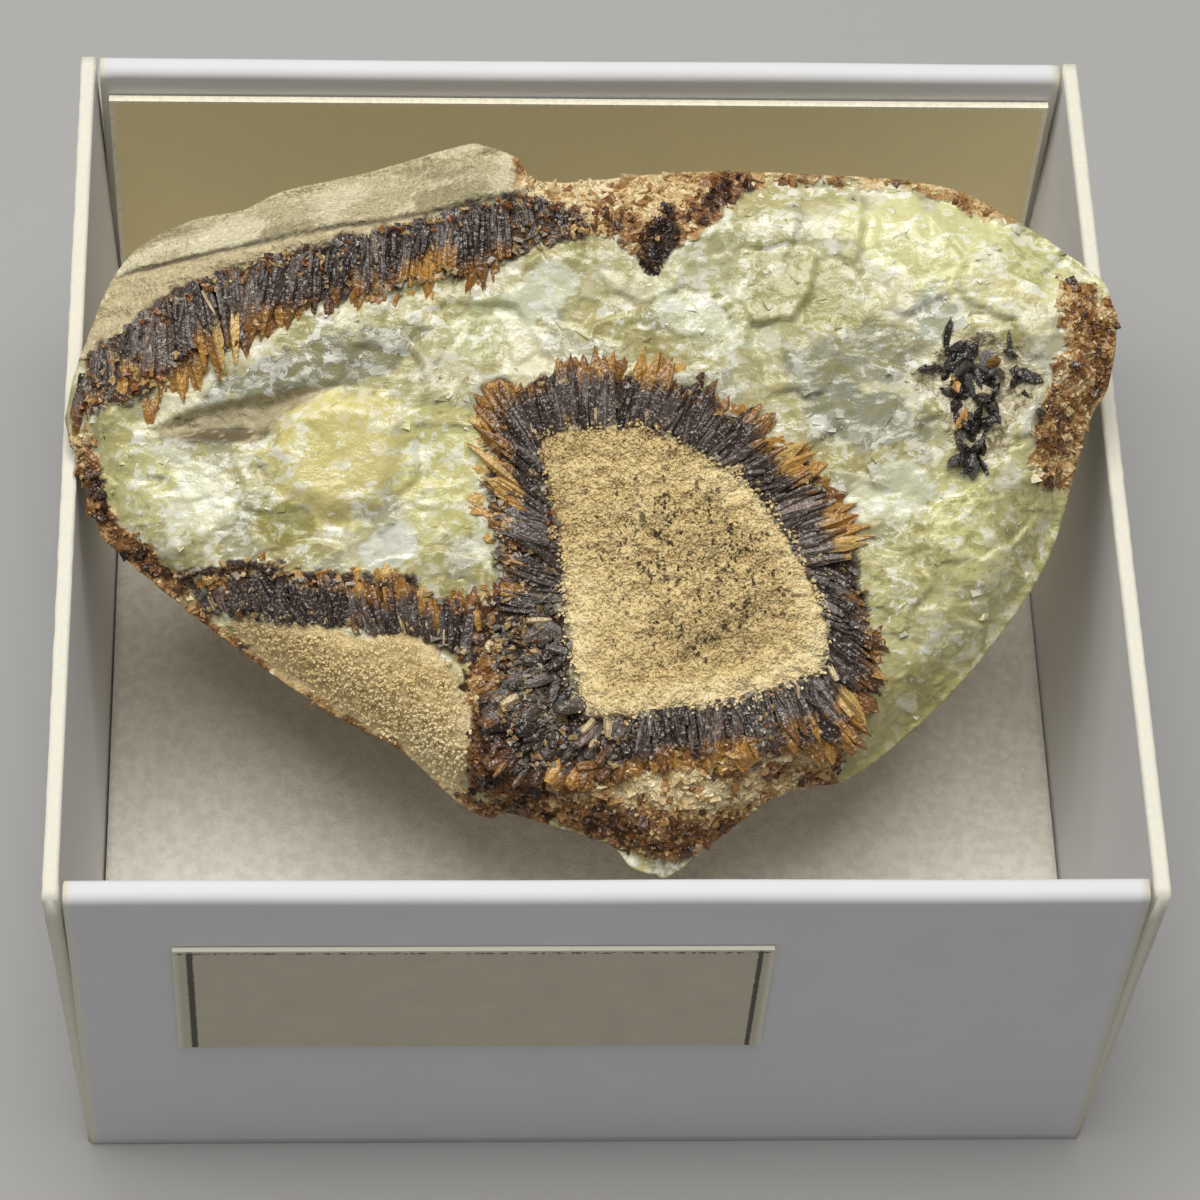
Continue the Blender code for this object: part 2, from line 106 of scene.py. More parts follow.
def leaned(rows: np.ndarray, goal: np.ndarray | Sequence[float], share: np.ndarray) -> np.ndarray:
    """Rows of numbers shifted towards a goal, each by its own share."""
    return rows + (np.array(goal) - rows) * share[:, None]


def smooth_line(points: Pairs, count: int, closed: bool = False) -> np.ndarray:
    """Even points along a Catmull-Rom curve.

    Args:
        points: the points the curve runs through.
        count: how many points are wanted.
        closed: whether the curve closes on itself.

    Returns:
        The points, one a row.
    """
    p = np.array(points, float)
    n = len(p)
    fine = []
    for i in range(n if closed else n - 1):
        picks = [i - 1, i, i + 1, i + 2]
        picks = [k % n if closed else min(max(k, 0), n - 1) for k in picks]
        a, b, c, d = p[picks]
        t = np.linspace(0, 1, 24, endpoint=False)[:, None]
        curve = 2 * b + (c - a) * t + (2 * a - 5 * b + 4 * c - d) * t**2
        fine.append(0.5 * (curve + (3 * b - a - 3 * c + d) * t**3))
    fine.append(fine[0][:1] if closed else p[-1:])
    line = np.vstack(fine)
    run = np.r_[0, np.cumsum(np.linalg.norm(np.diff(line, axis=0), axis=1))]
    at = np.linspace(0, run[-1], count, endpoint=not closed)
    return np.stack([np.interp(at, run, line[:, k]) for k in (0, 1)], axis=1)


def above_line(uv: np.ndarray, line: Pairs) -> np.ndarray:
    """How far up from a line that runs to the right each point lies."""
    along, up = np.array(line).T
    return uv[:, 1] - np.interp(uv[:, 0], along, up)


def line_distance(uv: np.ndarray, line: np.ndarray) -> np.ndarray:
    """Distance from each point to an open line."""
    best = np.full(len(uv), 1e9)
    for a, b in zip(line, line[1:]):
        along = b - a
        t = np.clip(((uv - a) @ along) / max(along @ along, 1e-9), 0, 1)
        best = np.minimum(best, np.hypot(*(uv - a - t[:, None] * along).T))
    return best


def depth_inside(uv: np.ndarray, outline: Pairs | np.ndarray) -> np.ndarray:
    """How far each point lies inside a closed outline.

    Args:
        uv: points of the face.
        outline: the closed outline.

    Returns:
        Millimetres to the outline, below 0 outside it.
    """
    ring = np.vstack([outline, outline[:1]]).astype(float)
    x, y = uv[:, 0], uv[:, 1]
    within = np.zeros(len(uv), bool)
    for (ax, ay), (bx, by) in zip(ring, ring[1:]):
        if ay != by:
            cross = ((ay > y) != (by > y)) & (x < (bx - ax) * (y - ay) / (by - ay) + ax)
            within ^= cross
    return np.where(within, 1.0, -1.0) * line_distance(uv, ring)


class Habit(Enum):
    """How a fringe's crystals stand: side by side like a comb, or as loose chunks."""

    COMB = "comb"
    CHUNKS = "chunks"


@dataclass(frozen=True)
class Fringe:
    """A row of crystals between the line it grew from and the line of its tips."""

    name: str
    base: Pairs
    tips: Pairs
    habit: Habit = Habit.COMB

    def outline(self, reach: float = 0.74) -> np.ndarray:
        """The closed outline of the row, out to a share of the way to its tips."""
        base = smooth_line(self.base, 60)
        tips = base + reach * (smooth_line(self.tips, 60) - base)
        return np.vstack([base, tips[::-1]])


@dataclass(frozen=True)
class Spot:
    """A soft-edged, ragged oval on the face."""

    u: float
    v: float
    wide: float
    tall: float
    turn: float = 0.0

    def weight(self, uv: np.ndarray) -> np.ndarray:
        """How much each point belongs to the spot, from 0 to 1."""
        a = math.radians(self.turn)
        du, dv = uv[:, 0] - self.u, uv[:, 1] - self.v
        x = (du * math.cos(a) + dv * math.sin(a)) / self.wide
        y = (dv * math.cos(a) - du * math.sin(a)) / self.tall
        away = np.hypot(x, y)
        near = away < 1.8
        share = np.zeros(len(uv))
        ragged = 0.3 * grain(uv[near], 0.9, self.u) + 0.2 * grain(uv[near], 2.3, self.v)
        share[near] = 1.0 - step(away[near] + ragged, 0.72, 1.12)
        return share


@dataclass(frozen=True)
class Patch:
    """A spot of calcite with a colour of its own, frostier or clearer than the rest."""

    spot: Spot
    colour: Tone
    frost: float = 0.0
    clear: float = 0.0


@dataclass(frozen=True)
class Shift:
    """A spot where crystals are lighter and warmer, or darker."""

    spot: Spot
    amount: float


def shifted(uv: np.ndarray, shifts: tuple[Shift, ...]) -> np.ndarray:
    """What all the shifts add at each point."""
    total = np.zeros(len(uv))
    for shift in shifts:
        total += shift.amount * shift.spot.weight(uv)
    return total


@dataclass(frozen=True)
class Palette:
    """Colours along a scale from 0 to 1."""

    stops: tuple[tuple[float, Tone], ...]

    def at(self, share: np.ndarray) -> np.ndarray:
        """The colour of each place on the scale, one a row."""
        places = [stop[0] for stop in self.stops]
        colours = np.array([stop[1] for stop in self.stops])
        return np.stack([np.interp(share, places, colours[:, k]) for k in range(3)], axis=1)


@dataclass(frozen=True)
class Look:
    """One kind of stone: its dark, middle and light colours, and its surface."""

    low: Tone
    mid: Tone
    high: Tone
    fine: float = 0.0
    wet: float = 0.0
    rug: float = 1.0

    def row(self) -> np.ndarray:
        """The look as twelve numbers."""
        return np.array([*self.low, *self.mid, *self.high, self.fine, self.wet, self.rug])


def graded(
    palette: Palette, scale: np.ndarray, steps: tuple[float, float], rest: Triple
) -> np.ndarray:
    """Looks whose three colours lie near each other on a palette.

    Args:
        palette: the palette.
        scale: where each point's middle colour lies on it.
        steps: how far off the dark and the light colour lie.
        rest: the looks' grain, wetness and relief.

    Returns:
        Twelve numbers a point, as in a Look.
    """
    shades = [palette.at(np.clip(scale + off, 0, 1)) for off in (steps[0], 0.0, steps[1])]
    return np.hstack([*shades, np.tile(rest, (len(scale), 1))])


# Painted sheen: the grey stop at 0.68 stands in for the blue-grey shine on dark prisms; the tan
# stops are the crystals' own flecks.
DARK_CRYSTALS = Palette(
    (
        (0.0, tone(36, 28, 26)), (0.3, tone(64, 51, 45)), (0.5, tone(94, 82, 74)),
        (0.68, tone(132, 124, 120)), (0.78, tone(116, 80, 54)), (0.92, tone(180, 150, 108)),
        (1.0, tone(222, 200, 154)),
    )
)
CLEAR_ENDS = Palette(
    (
        (0.0, tone(82, 54, 36)), (0.25, tone(126, 84, 42)), (0.5, tone(164, 116, 52)),
        (0.75, tone(202, 152, 72)), (0.9, tone(222, 188, 116)), (1.0, tone(236, 214, 166)),
    )
)
CRUST = Palette(
    (
        (0.0, tone(42, 28, 22)), (0.22, tone(84, 55, 36)), (0.42, tone(138, 92, 48)),
        (0.58, tone(182, 138, 82)), (0.75, tone(220, 194, 140)), (1.0, tone(240, 226, 184)),
    )
)
SAND = Palette(
    (
        (0.0, tone(70, 58, 36)), (0.3, tone(140, 120, 78)), (0.5, tone(218, 192, 136)),
        (0.72, tone(234, 212, 156)), (1.0, tone(246, 230, 184)),
    )
)


@dataclass(frozen=True)
class BrokenFace:
    """Outlines, zones and relief of the break, in millimetres in its plane."""

    centre: tuple[float, float, float] = (0.03, -3.2, 21.3)
    tip: float = 33.22
    turn: float = -5.7
    roll: float = 4.85
    middle: tuple[float, float] = (0.0, -0.6)
    outline: Pairs = (
        (-20.6, 2.7), (-20.6, 3.6), (-20.0, 5.8), (-18.4, 9.3), (-16.1, 10.8),
        (-13.9, 11.3), (-12.4, 12.0), (-9.0, 12.8), (-5.4, 13.8), (-4.5, 13.8),
        (-3.2, 13.3), (-2.0, 12.3), (4.1, 12.7), (12.4, 12.3), (16.1, 10.8),
        (19.2, 8.7), (19.8, 7.6), (20.0, 6.8), (19.7, 4.5), (18.9, 2.9),
        (17.6, -1.7), (16.2, -4.3), (13.8, -7.3), (11.5, -9.5), (9.4, -10.9),
        (6.9, -11.4), (3.0, -14.4), (2.1, -14.5), (1.2, -14.2), (0.3, -13.3),
        (-1.6, -12.7), (-3.6, -12.1), (-4.3, -12.3), (-5.5, -11.7), (-7.8, -9.6),
        (-10.6, -8.1), (-15.0, -5.0), (-19.3, -1.4), (-19.8, -0.5),
    )
    core: Pairs = (
        (-2.4, 2.4), (-1.2, 2.7), (0.4, 2.9), (2.1, 2.7), (4.0, 1.7), (5.4, 0.9),
        (7.0, -1.0), (8.0, -2.7), (8.9, -4.8), (8.6, -6.4), (6.3, -7.6), (2.1, -8.3),
        (-0.6, -8.2), (-1.2, -6.2), (-1.5, -2.2), (-2.0, 0.4),
    )
    matrix: Pairs = (
        (-14.9, -4.6), (-12.9, -4.5), (-10.9, -4.8), (-9.7, -5.1), (-7.3, -5.1),
        (-6.5, -5.6), (-5.3, -6.8), (-5.0, -8.3), (-5.1, -10.0), (-5.6, -11.6),
        (-7.8, -9.4), (-10.6, -7.9), (-12.8, -6.3),
    )
    lump: Pairs = (
        (-12.8, 1.9), (-12.1, 3.5), (-10.8, 4.2), (-8.8, 4.1), (-7.3, 3.1),
        (-7.5, 0.8), (-8.4, -0.6), (-10.4, -0.8), (-12.1, 0.0),
    )
    sliver: Pairs = (
        (-17.2, 2.8), (-15.9, 3.5), (-14.0, 3.9), (-12.2, 4.2), (-10.2, 4.4),
        (-12.2, 3.2), (-12.9, 2.2), (-14.9, 2.2), (-16.7, 2.4),
    )
    hollow: Pairs = (
        (12.1, 4.5), (13.1, 6.0), (14.8, 6.6), (16.3, 6.0), (17.0, 4.6),
        (15.9, 2.9), (15.4, 1.6), (14.6, 1.2), (13.7, 1.9), (13.3, 3.3),
    )
    crack: Pairs = (
        (-20.6, 7.9), (-18.7, 8.7), (-16.4, 9.2), (-10.6, 10.4), (-8.5, 10.7),
        (-4.3, 11.5), (-1.8, 12.4),
    )
    top_crust: Pairs = (
        (-3.4, 13.2), (-2.9, 11.7), (-1.6, 10.6), (-0.2, 10.2), (1.0, 9.7), (2.1, 8.6),
        (2.9, 9.8), (4.4, 10.6), (5.3, 11.7), (6.5, 12.3), (9.4, 12.3), (12.0, 12.1),
        (16.0, 10.7),
        (16.4, 11.0), (12.4, 12.8), (4.0, 13.2),
    )
    right_crust: Pairs = (
        (17.6, 8.6), (17.5, 7.2), (18.2, 6.1), (17.4, 5.0), (17.3, 4.0), (16.6, 2.9),
        (16.6, 1.3), (17.1, 0.6), (18.6, 0.3), (20.6, 4.5), (20.8, 8.0),
    )
    low_crust: Pairs = (
        (-5.2, -6.4), (-4.4, -4.2), (-1.8, -3.4), (-1.1, -6.4), (-0.4, -7.8),
        (2.1, -7.9), (6.3, -7.2), (8.6, -6.2), (9.6, -9.0), (9.2, -11.0),
        (6.9, -11.8), (4.5, -13.4), (2.4, -13.9), (0.2, -13.2), (-3.0, -11.9),
        (-5.2, -11.2),
    )

    def frame_turn(self) -> np.ndarray:
        """Rotation from the face's axes to the tray's, as a 3 by 3 array."""
        turn = Matrix.Rotation(math.radians(self.turn), 3, "Z")
        tip = Matrix.Rotation(math.radians(self.tip), 3, "X")
        roll = Matrix.Rotation(math.radians(self.roll), 3, "Z")
        return np.array(turn @ tip @ roll)

    def placed(self, uvw: np.ndarray) -> np.ndarray:
        """Points of the face's axes in the tray's frame, still in millimetres."""
        return uvw @ self.frame_turn().T + np.array(self.centre)

    def unplaced(self, xyz: np.ndarray) -> np.ndarray:
        """Points of the tray's frame in the face's axes."""
        return (xyz - np.array(self.centre)) @ self.frame_turn()

    def past_crack(self, uv: np.ndarray) -> np.ndarray:
        """How far points lie past the crack, on the nodule's outer side."""
        near = (uv[:, 0] > self.crack[0][0]) & (uv[:, 0] < self.crack[-1][0])
        return np.where(near, np.maximum(above_line(uv, self.crack), 0.0), 0.0)

    def broad(self, uv: np.ndarray) -> np.ndarray:
        """Height of the break without its crystals and facets."""
        u, v = uv.T
        edge = depth_inside(uv, self.outline)
        height = 0.45 - 1.5 * np.exp(-((edge / 1.3) ** 2))
        height += 0.45 * grain(uv, 0.16, 3.1)
        height -= 0.9 * np.minimum(1.0, self.past_crack(uv) / 1.6)
        height -= 0.8 * np.clip((-9.5 - v) / 3.5, 0, 1)
        height -= 0.9 * np.clip((u - 0.9 * v - 14.5) / 6.0, 0, 1)
        return height


@dataclass(frozen=True)
class Breaks:
    """Flat broken pieces of calcite: a cell for each, with its own level and tilt."""

    size: float
    rise: float
    tilt: float
    level: float

    def over(self, uv: np.ndarray) -> tuple[np.ndarray, np.ndarray]:
        """Heights and marks of the pieces that points belong to.

        Args:
            uv: points of the face.

        Returns:
            The height of each point, and a number from 0 to 1 for its piece.
        """
        span = int(24 / self.size) + 2
        rng = np.random.default_rng(int(10 * self.level))
        table = rng.uniform(-0.5, 0.5, (2 * span, 2 * span, 5))
        cell = np.floor(uv / self.size).astype(int)
        best = np.full(len(uv), 1e9)
        height, total, mark = np.zeros((3, len(uv)))
        for di in (-1, 0, 1):
            for dj in (-1, 0, 1):
                i, j = cell[:, 0] + di, cell[:, 1] + dj
                row = table[i + span, j + span]
                su = (i + 0.5 + 0.9 * row[:, 0]) * self.size
                sv = (j + 0.5 + 0.9 * row[:, 1]) * self.size
                du, dv = uv[:, 0] - su, uv[:, 1] - sv
                gap = du * du + dv * dv
                lift = 2 * self.rise * row[:, 2]
                lift += 2 * self.tilt * (row[:, 3] * du + row[:, 4] * dv)
                pull = np.exp(-48.0 * gap / self.size**2)
                height += pull * lift
                total += pull
                near = gap < best
                best = np.where(near, gap, best)
                mark = np.where(near, (row[:, 2] + 3 * row[:, 3]) * 2.7 % 1.0, mark)
        return height / np.maximum(total, 1e-12), mark


class Wiring:
    """A node tree, with short calls to add nodes and join them."""

    def __init__(self, tree: bpy.types.NodeTree) -> None:
        """Take over a tree."""
        self.nodes = tree.nodes
        self.links = tree.links

    def feed(self, socket: bpy.types.NodeSocket, value: object) -> None:
        """Link a socket or set its value."""
        if isinstance(value, bpy.types.NodeSocket):
            self.links.new(value, socket)
        elif isinstance(value, tuple) and len(value) == 3 and socket.type == "RGBA":
            socket.default_value = (*value, 1.0)
        else:
            socket.default_value = value

    def add(
        self, kind: str, given: dict[str | int, object], out: str | int = 0, **settings: object
    ) -> bpy.types.NodeSocket:
        """Add a node.

        Args:
            kind: the node's kind.
            given: links and values for its inputs, by their names or numbers.
            out: which output is wanted.
            settings: its own settings.

        Returns:
            The wanted output.
        """
        node = self.nodes.new(kind)
        for key, value in settings.items():
            setattr(node, key, value)
        for key, value in given.items():
            self.feed(node.inputs[key], value)
        return node.outputs[out]

    def math(self, kind: str, a: object, b: object = 0.5, c: object = 0.5) -> bpy.types.NodeSocket:
        """One sum on numbers, such as ADD or MULTIPLY."""
        return self.add("ShaderNodeMath", {0: a, 1: b, 2: c}, operation=kind)


class Sheet(Wiring):
    """A material's nodes, with short calls for the few kinds this object needs."""

    def __init__(self, name: str) -> None:
        """Start a Principled material whose positions are read in millimetres."""
        self.material = bpy.data.materials.new(name)
        self.material.use_nodes = True
        super().__init__(self.material.node_tree)
        place = self.nodes.new("ShaderNodeTexCoord").outputs["Object"]
        scale = {0: place, "Scale": 1 / MM}
        self.here = self.add("ShaderNodeVectorMath", scale, operation="SCALE")

    def finish(self, **values: object) -> bpy.types.Material:
        """Set the shader's sockets, with underscores for spaces, and return the material."""
        for name, value in values.items():
            self.feed(self.nodes["Principled BSDF"].inputs[name.replace("_", " ")], value)
        return self.material

    def attribute(self, name: str, output: str = "Fac") -> bpy.types.NodeSocket:
        """A value that the mesh carries."""
        return self.add("ShaderNodeAttribute", {}, output, attribute_name=name)

    def between(self, value: object, low: float, high: float) -> bpy.types.NodeSocket:
        """Smooth rise from 0 at low to 1 at high."""
        given = {"Value": value, "From Min": low, "From Max": high}
        return self.add("ShaderNodeMapRange", given, "Result", interpolation_type="SMOOTHSTEP")

    def plus(self, a: object, b: object) -> bpy.types.NodeSocket:
        """The sum of two positions."""
        return self.add("ShaderNodeVectorMath", {0: a, 1: b}, operation="ADD")

    def stretch(self, vector: object, by: Triple, turn: float = 0.0) -> bpy.types.NodeSocket:
        """Positions stretched along each axis, after a turn about the third one."""
        given = {"Vector": vector, "Scale": by, "Rotation": (0.0, 0.0, math.radians(turn))}
        return self.add("ShaderNodeMapping", given, "Vector")

    def noise(
        self, vector: object, scale: float, detail: float, rough: float = 0.55, twist: float = 0.0
    ) -> bpy.types.NodeSocket:
        """Noise from 0 to 1 with so many swells to a millimetre."""
        given = {"Scale": scale, "Detail": detail, "Roughness": rough, "Distortion": twist}
        return self.add("ShaderNodeTexNoise", {"Vector": vector, **given}, "Fac")

    def cells(self, vector: object, scale: float, output: str) -> bpy.types.NodeSocket:
        """The distance or the colour of scattered cells."""
        return self.add("ShaderNodeTexVoronoi", {"Vector": vector, "Scale": scale}, output)

    def mix(self, share: object, a: object, b: object) -> bpy.types.NodeSocket:
        """Mix two colours."""
        return self.add("ShaderNodeMix", {"Factor": share, 6: a, 7: b}, 2, data_type="RGBA")

    def bump(self, height: object, size: float) -> bpy.types.NodeSocket:
        """Surface relief of that many millimetres."""
        given = {"Strength": 1.0, "Distance": size * MM, "Height": height}
        return self.add("ShaderNodeBump", given, "Normal")


@dataclass(frozen=True)
class CrystalFinish:
    """Crystals that go from a dark foot to a clear end, with small painted glints and painted sheen
    along their ribs.
    """

    name: str
    gloss: float = 0.24
    glint: float = 0.55
    ribs: float = 0.0

    def material(self) -> bpy.types.Material:
        """Build the nodes.

        Returns:
            A material that reads each crystal's own two colours.
        """
        s = Sheet(self.name)
        shade = s.attribute("shade", "Color")
        end = s.attribute("end", "Color")
        along = s.attribute("along")
        speck = s.noise(s.here, 5.5, 3.0, 0.7)
        own = s.stretch(s.attribute("own", "Vector"), (4.5, 4.5, 0.7))
        rib = s.noise(s.plus(own, s.stretch(s.here, (0.4, 0.4, 0.4))), 1.0, 2.0, 0.6)
        reach = s.math("MULTIPLY_ADD", s.math("SUBTRACT", speck, 0.5), 0.5, along)
        past = s.math("SUBTRACT", reach, s.attribute("clear_from"))
        colour = s.mix(s.between(past, -0.1, 0.22), shade, end)
        dim = s.math("MULTIPLY", s.between(speck, 0.46, 0.3), 0.4)
        dim = s.math("MAXIMUM", dim, s.math("MULTIPLY", s.between(rib, 0.5, 0.36), self.ribs))
        colour = s.mix(dim, colour, tone(34, 25, 22))
        # Painted glints: light specks mixed into the colour stand in for small highlights on the
        # crystals.
        painted_glint_specks = s.math("MULTIPLY", s.between(speck, 0.57, 0.68), self.glint)
        # Painted sheen: the ribs' light lines stand in for shine along the prisms; the ribs' relief
        # and dark lines are their striations.
        line = s.math("MULTIPLY", s.between(rib, 0.58, 0.7), 0.6 * self.ribs)
        colour = s.mix(s.math("MAXIMUM", painted_glint_specks, line), colour, tone(208, 200, 184))
        relief = s.math("MULTIPLY_ADD", rib, 1.4 * self.ribs, s.noise(s.here, 7.0, 1.0))
        bump = s.bump(relief, 0.09)
        return s.finish(Base_Color=colour, Roughness=self.gloss, Normal=bump, IOR=1.55)


@dataclass(frozen=True)
class StoneFinish:
    """The stone's body: three colours at each place, sorted by its grain."""

    name: str = "broken_septarian_stone"

    def material(self) -> bpy.types.Material:
        """Build the nodes.

        Returns:
            The stone's material.
        """
        s = Sheet(self.name)
        low, mid, high = (s.attribute(n, "Color") for n in ("low", "middle", "high"))
        fine = s.attribute("fine")
        wet = s.attribute("wet")
        rug = s.attribute("rug")
        swirl = s.noise(s.stretch(s.here, (1.0, 1.5, 1.0), 35), 1.35, 5.0, 0.7, 0.9)
        sand = s.noise(s.here, 7.5, 2.0, 0.62)
        drift = s.plus(s.stretch(s.here, (1.0, 2.0, 1.0), -40), s.math("MULTIPLY", swirl, 0.9))
        small, large = (s.cells(drift, scale, "Color") for scale in (2.9, 1.1))
        flake = s.math("MULTIPLY_ADD", small, 0.7, large)
        crisp = s.math("MULTIPLY", s.math("SUBTRACT", flake, 0.85), s.math("MULTIPLY", wet, 0.46))
        share = s.math("MULTIPLY_ADD", s.math("SUBTRACT", sand, swirl), fine, swirl)
        share = s.math("ADD", share, crisp)
        colour = s.mix(s.between(share, 0.37, 0.46), low, mid)
        colour = s.mix(s.between(share, 0.545, 0.59), colour, high)
        rough = s.math("MULTIPLY_ADD", wet, -0.76, 0.84)
        bump = s.bump(s.math("MULTIPLY", s.noise(s.here, 3.6, 2.0, 0.6), rug), 0.2)
        return s.finish(Base_Color=colour, Roughness=rough, Normal=bump)


@dataclass(frozen=True)
class CardFinish:
    """Matt card or paper with a fine fibre grain and, where it is cut, a raw edge."""

    name: str
    face: Tone
    raw: Tone
    gloss: float = 0.85

    def material(self) -> bpy.types.Material:
        """Build the nodes.

        Returns:
            The card's material.
        """
        s = Sheet(self.name)
        cloud = s.noise(s.here, 0.35, 1.0)
        fibre = s.noise(s.here, 6.0, 2.0, 0.6)
        face = s.mix(s.math("MULTIPLY", cloud, 0.12), self.face, tone(170, 168, 160))
        face = s.mix(s.math("MULTIPLY", fibre, 0.08), face, tone(120, 120, 118))
        raw = s.mix(s.between(fibre, 0.4, 0.7), self.raw, tone(236, 230, 206))
        edge = s.math("MULTIPLY_ADD", s.math("SUBTRACT", fibre, 0.5), 0.4, s.attribute("raw"))
        colour = s.mix(s.between(edge, 0.4, 0.6), face, raw)
        return s.finish(Base_Color=colour, Roughness=self.gloss)


@dataclass(frozen=True)
class FoamFinish:
    """Fine white foam with small sparkles, painted into its colour as white spots that are also
    glossier.
    """

    name: str = "sparkling_foam"

    def material(self) -> bpy.types.Material:
        """Build the nodes.

        Returns:
            The foam's material.
        """
        s = Sheet(self.name)
        mottle = s.noise(s.here, 2.2, 2.0, 0.6)
        colour = s.mix(s.between(mottle, 0.3, 0.7), tone(228, 222, 208), tone(243, 238, 226))
        glint = s.cells(s.stretch(s.here, (1.0, 1.0, 1.0), 31), 2.6, "Distance")
        # Painted sparkles: small white spots in the colour stand in for glints on the foam; the
        # same spots are made glossier.
        painted_sparkle = s.math("SUBTRACT", 1.0, s.between(glint, 0.05, 0.13))
        colour = s.mix(painted_sparkle, colour, tone(255, 255, 252))
        rough = s.math("MULTIPLY_ADD", painted_sparkle, -0.6, 0.85)
        relief = s.noise(s.here, 9.0, 1.0)
        return s.finish(Base_Color=colour, Roughness=rough, Normal=s.bump(relief, 0.05))


@dataclass(frozen=True)
class NumberPaperFinish:
    """Greyish paper with a light edge and thin worn rules beside it."""

    left: float
    right: float
    top: float
    name: str = "number_paper"

    def material(self) -> bpy.types.Material:
        """Build the nodes.

        Returns:
            The paper's material.
        """
        s = Sheet(self.name)
        x, z = (s.add("ShaderNodeSeparateXYZ", {0: s.here}, axis) for axis in (0, 2))
        worn = s.noise(s.here, 5.0, 3.0, 0.6)
        paper = s.mix(s.noise(s.here, 0.8, 3.0), tone(196, 188, 166), tone(214, 206, 184))
        drift = s.math("MULTIPLY_ADD", s.math("SUBTRACT", worn, 0.5), 0.12, x)

        def rule(value: object, at: float, half: float) -> object:
            """A thin line at one place."""
            off = s.math("ABSOLUTE", s.math("SUBTRACT", value, at))
            return s.math("SUBTRACT", 1.0, s.between(off, half * 0.6, half * 1.3))

        sides = (rule(drift, self.left + 0.62, 0.13), rule(drift, self.right - 0.5, 0.1))
        ink = s.math("MAXIMUM", *sides)
        top = s.math("MULTIPLY", rule(z, self.top - 0.2, 0.07), s.between(worn, 0.47, 0.56))
        ink = s.math("MAXIMUM", ink, top)
        colour = s.mix(s.math("MULTIPLY", ink, 0.85), paper, tone(34, 33, 31))
        colour = s.mix(s.attribute("raw"), colour, tone(236, 232, 212))
        return s.finish(Base_Color=colour, Roughness=0.8)


def even(aim: np.ndarray) -> np.ndarray:
    """Directions brought to the length 1."""
    return aim / np.linalg.norm(aim, axis=1)[:, None]


def new_mesh(name: str, points: np.ndarray, faces: list, smooth: bool = True) -> bpy.types.Object:
    """Make an object from points in metres.

    Args:
        name: the piece's name.
        points: its points, one a row.
        faces: its faces, as lists of point numbers.
        smooth: whether it is shaded smooth.

    Returns:
        The object, linked into the scene.
    """
    mesh = bpy.data.meshes.new(name)
    mesh.from_pydata(points.tolist(), [], faces)
    mesh.update()
    if smooth:
        mesh.shade_smooth()
    obj = bpy.data.objects.new(name, mesh)
    bpy.context.scene.collection.objects.link(obj)
    return obj


def carry(obj: bpy.types.Object, name: str, values: np.ndarray) -> None:
    """Store a value on each point of a piece: a number, a direction or a colour."""
    kind, key = {1: ("FLOAT", "value"), 3: ("FLOAT_VECTOR", "vector"), 4: ("FLOAT_COLOR", "color")}[
        1 if values.ndim == 1 else values.shape[1]
    ]
    layer = obj.data.attributes.new(name, kind, "POINT")
    layer.data.foreach_set(key, values.astype(np.float32).ravel())


def settle(obj: bpy.types.Object, nodes: list[str]) -> None:
    """Bind a finished piece to the tray's body and log it.

    Args:
        obj: the piece.
        nodes: the solids it stands for.
    """
    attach(obj, "root")
    if nodes:
        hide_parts(*nodes)
    LOG.info("%s: %d points, %d faces", obj.name, len(obj.data.vertices), len(obj.data.polygons))


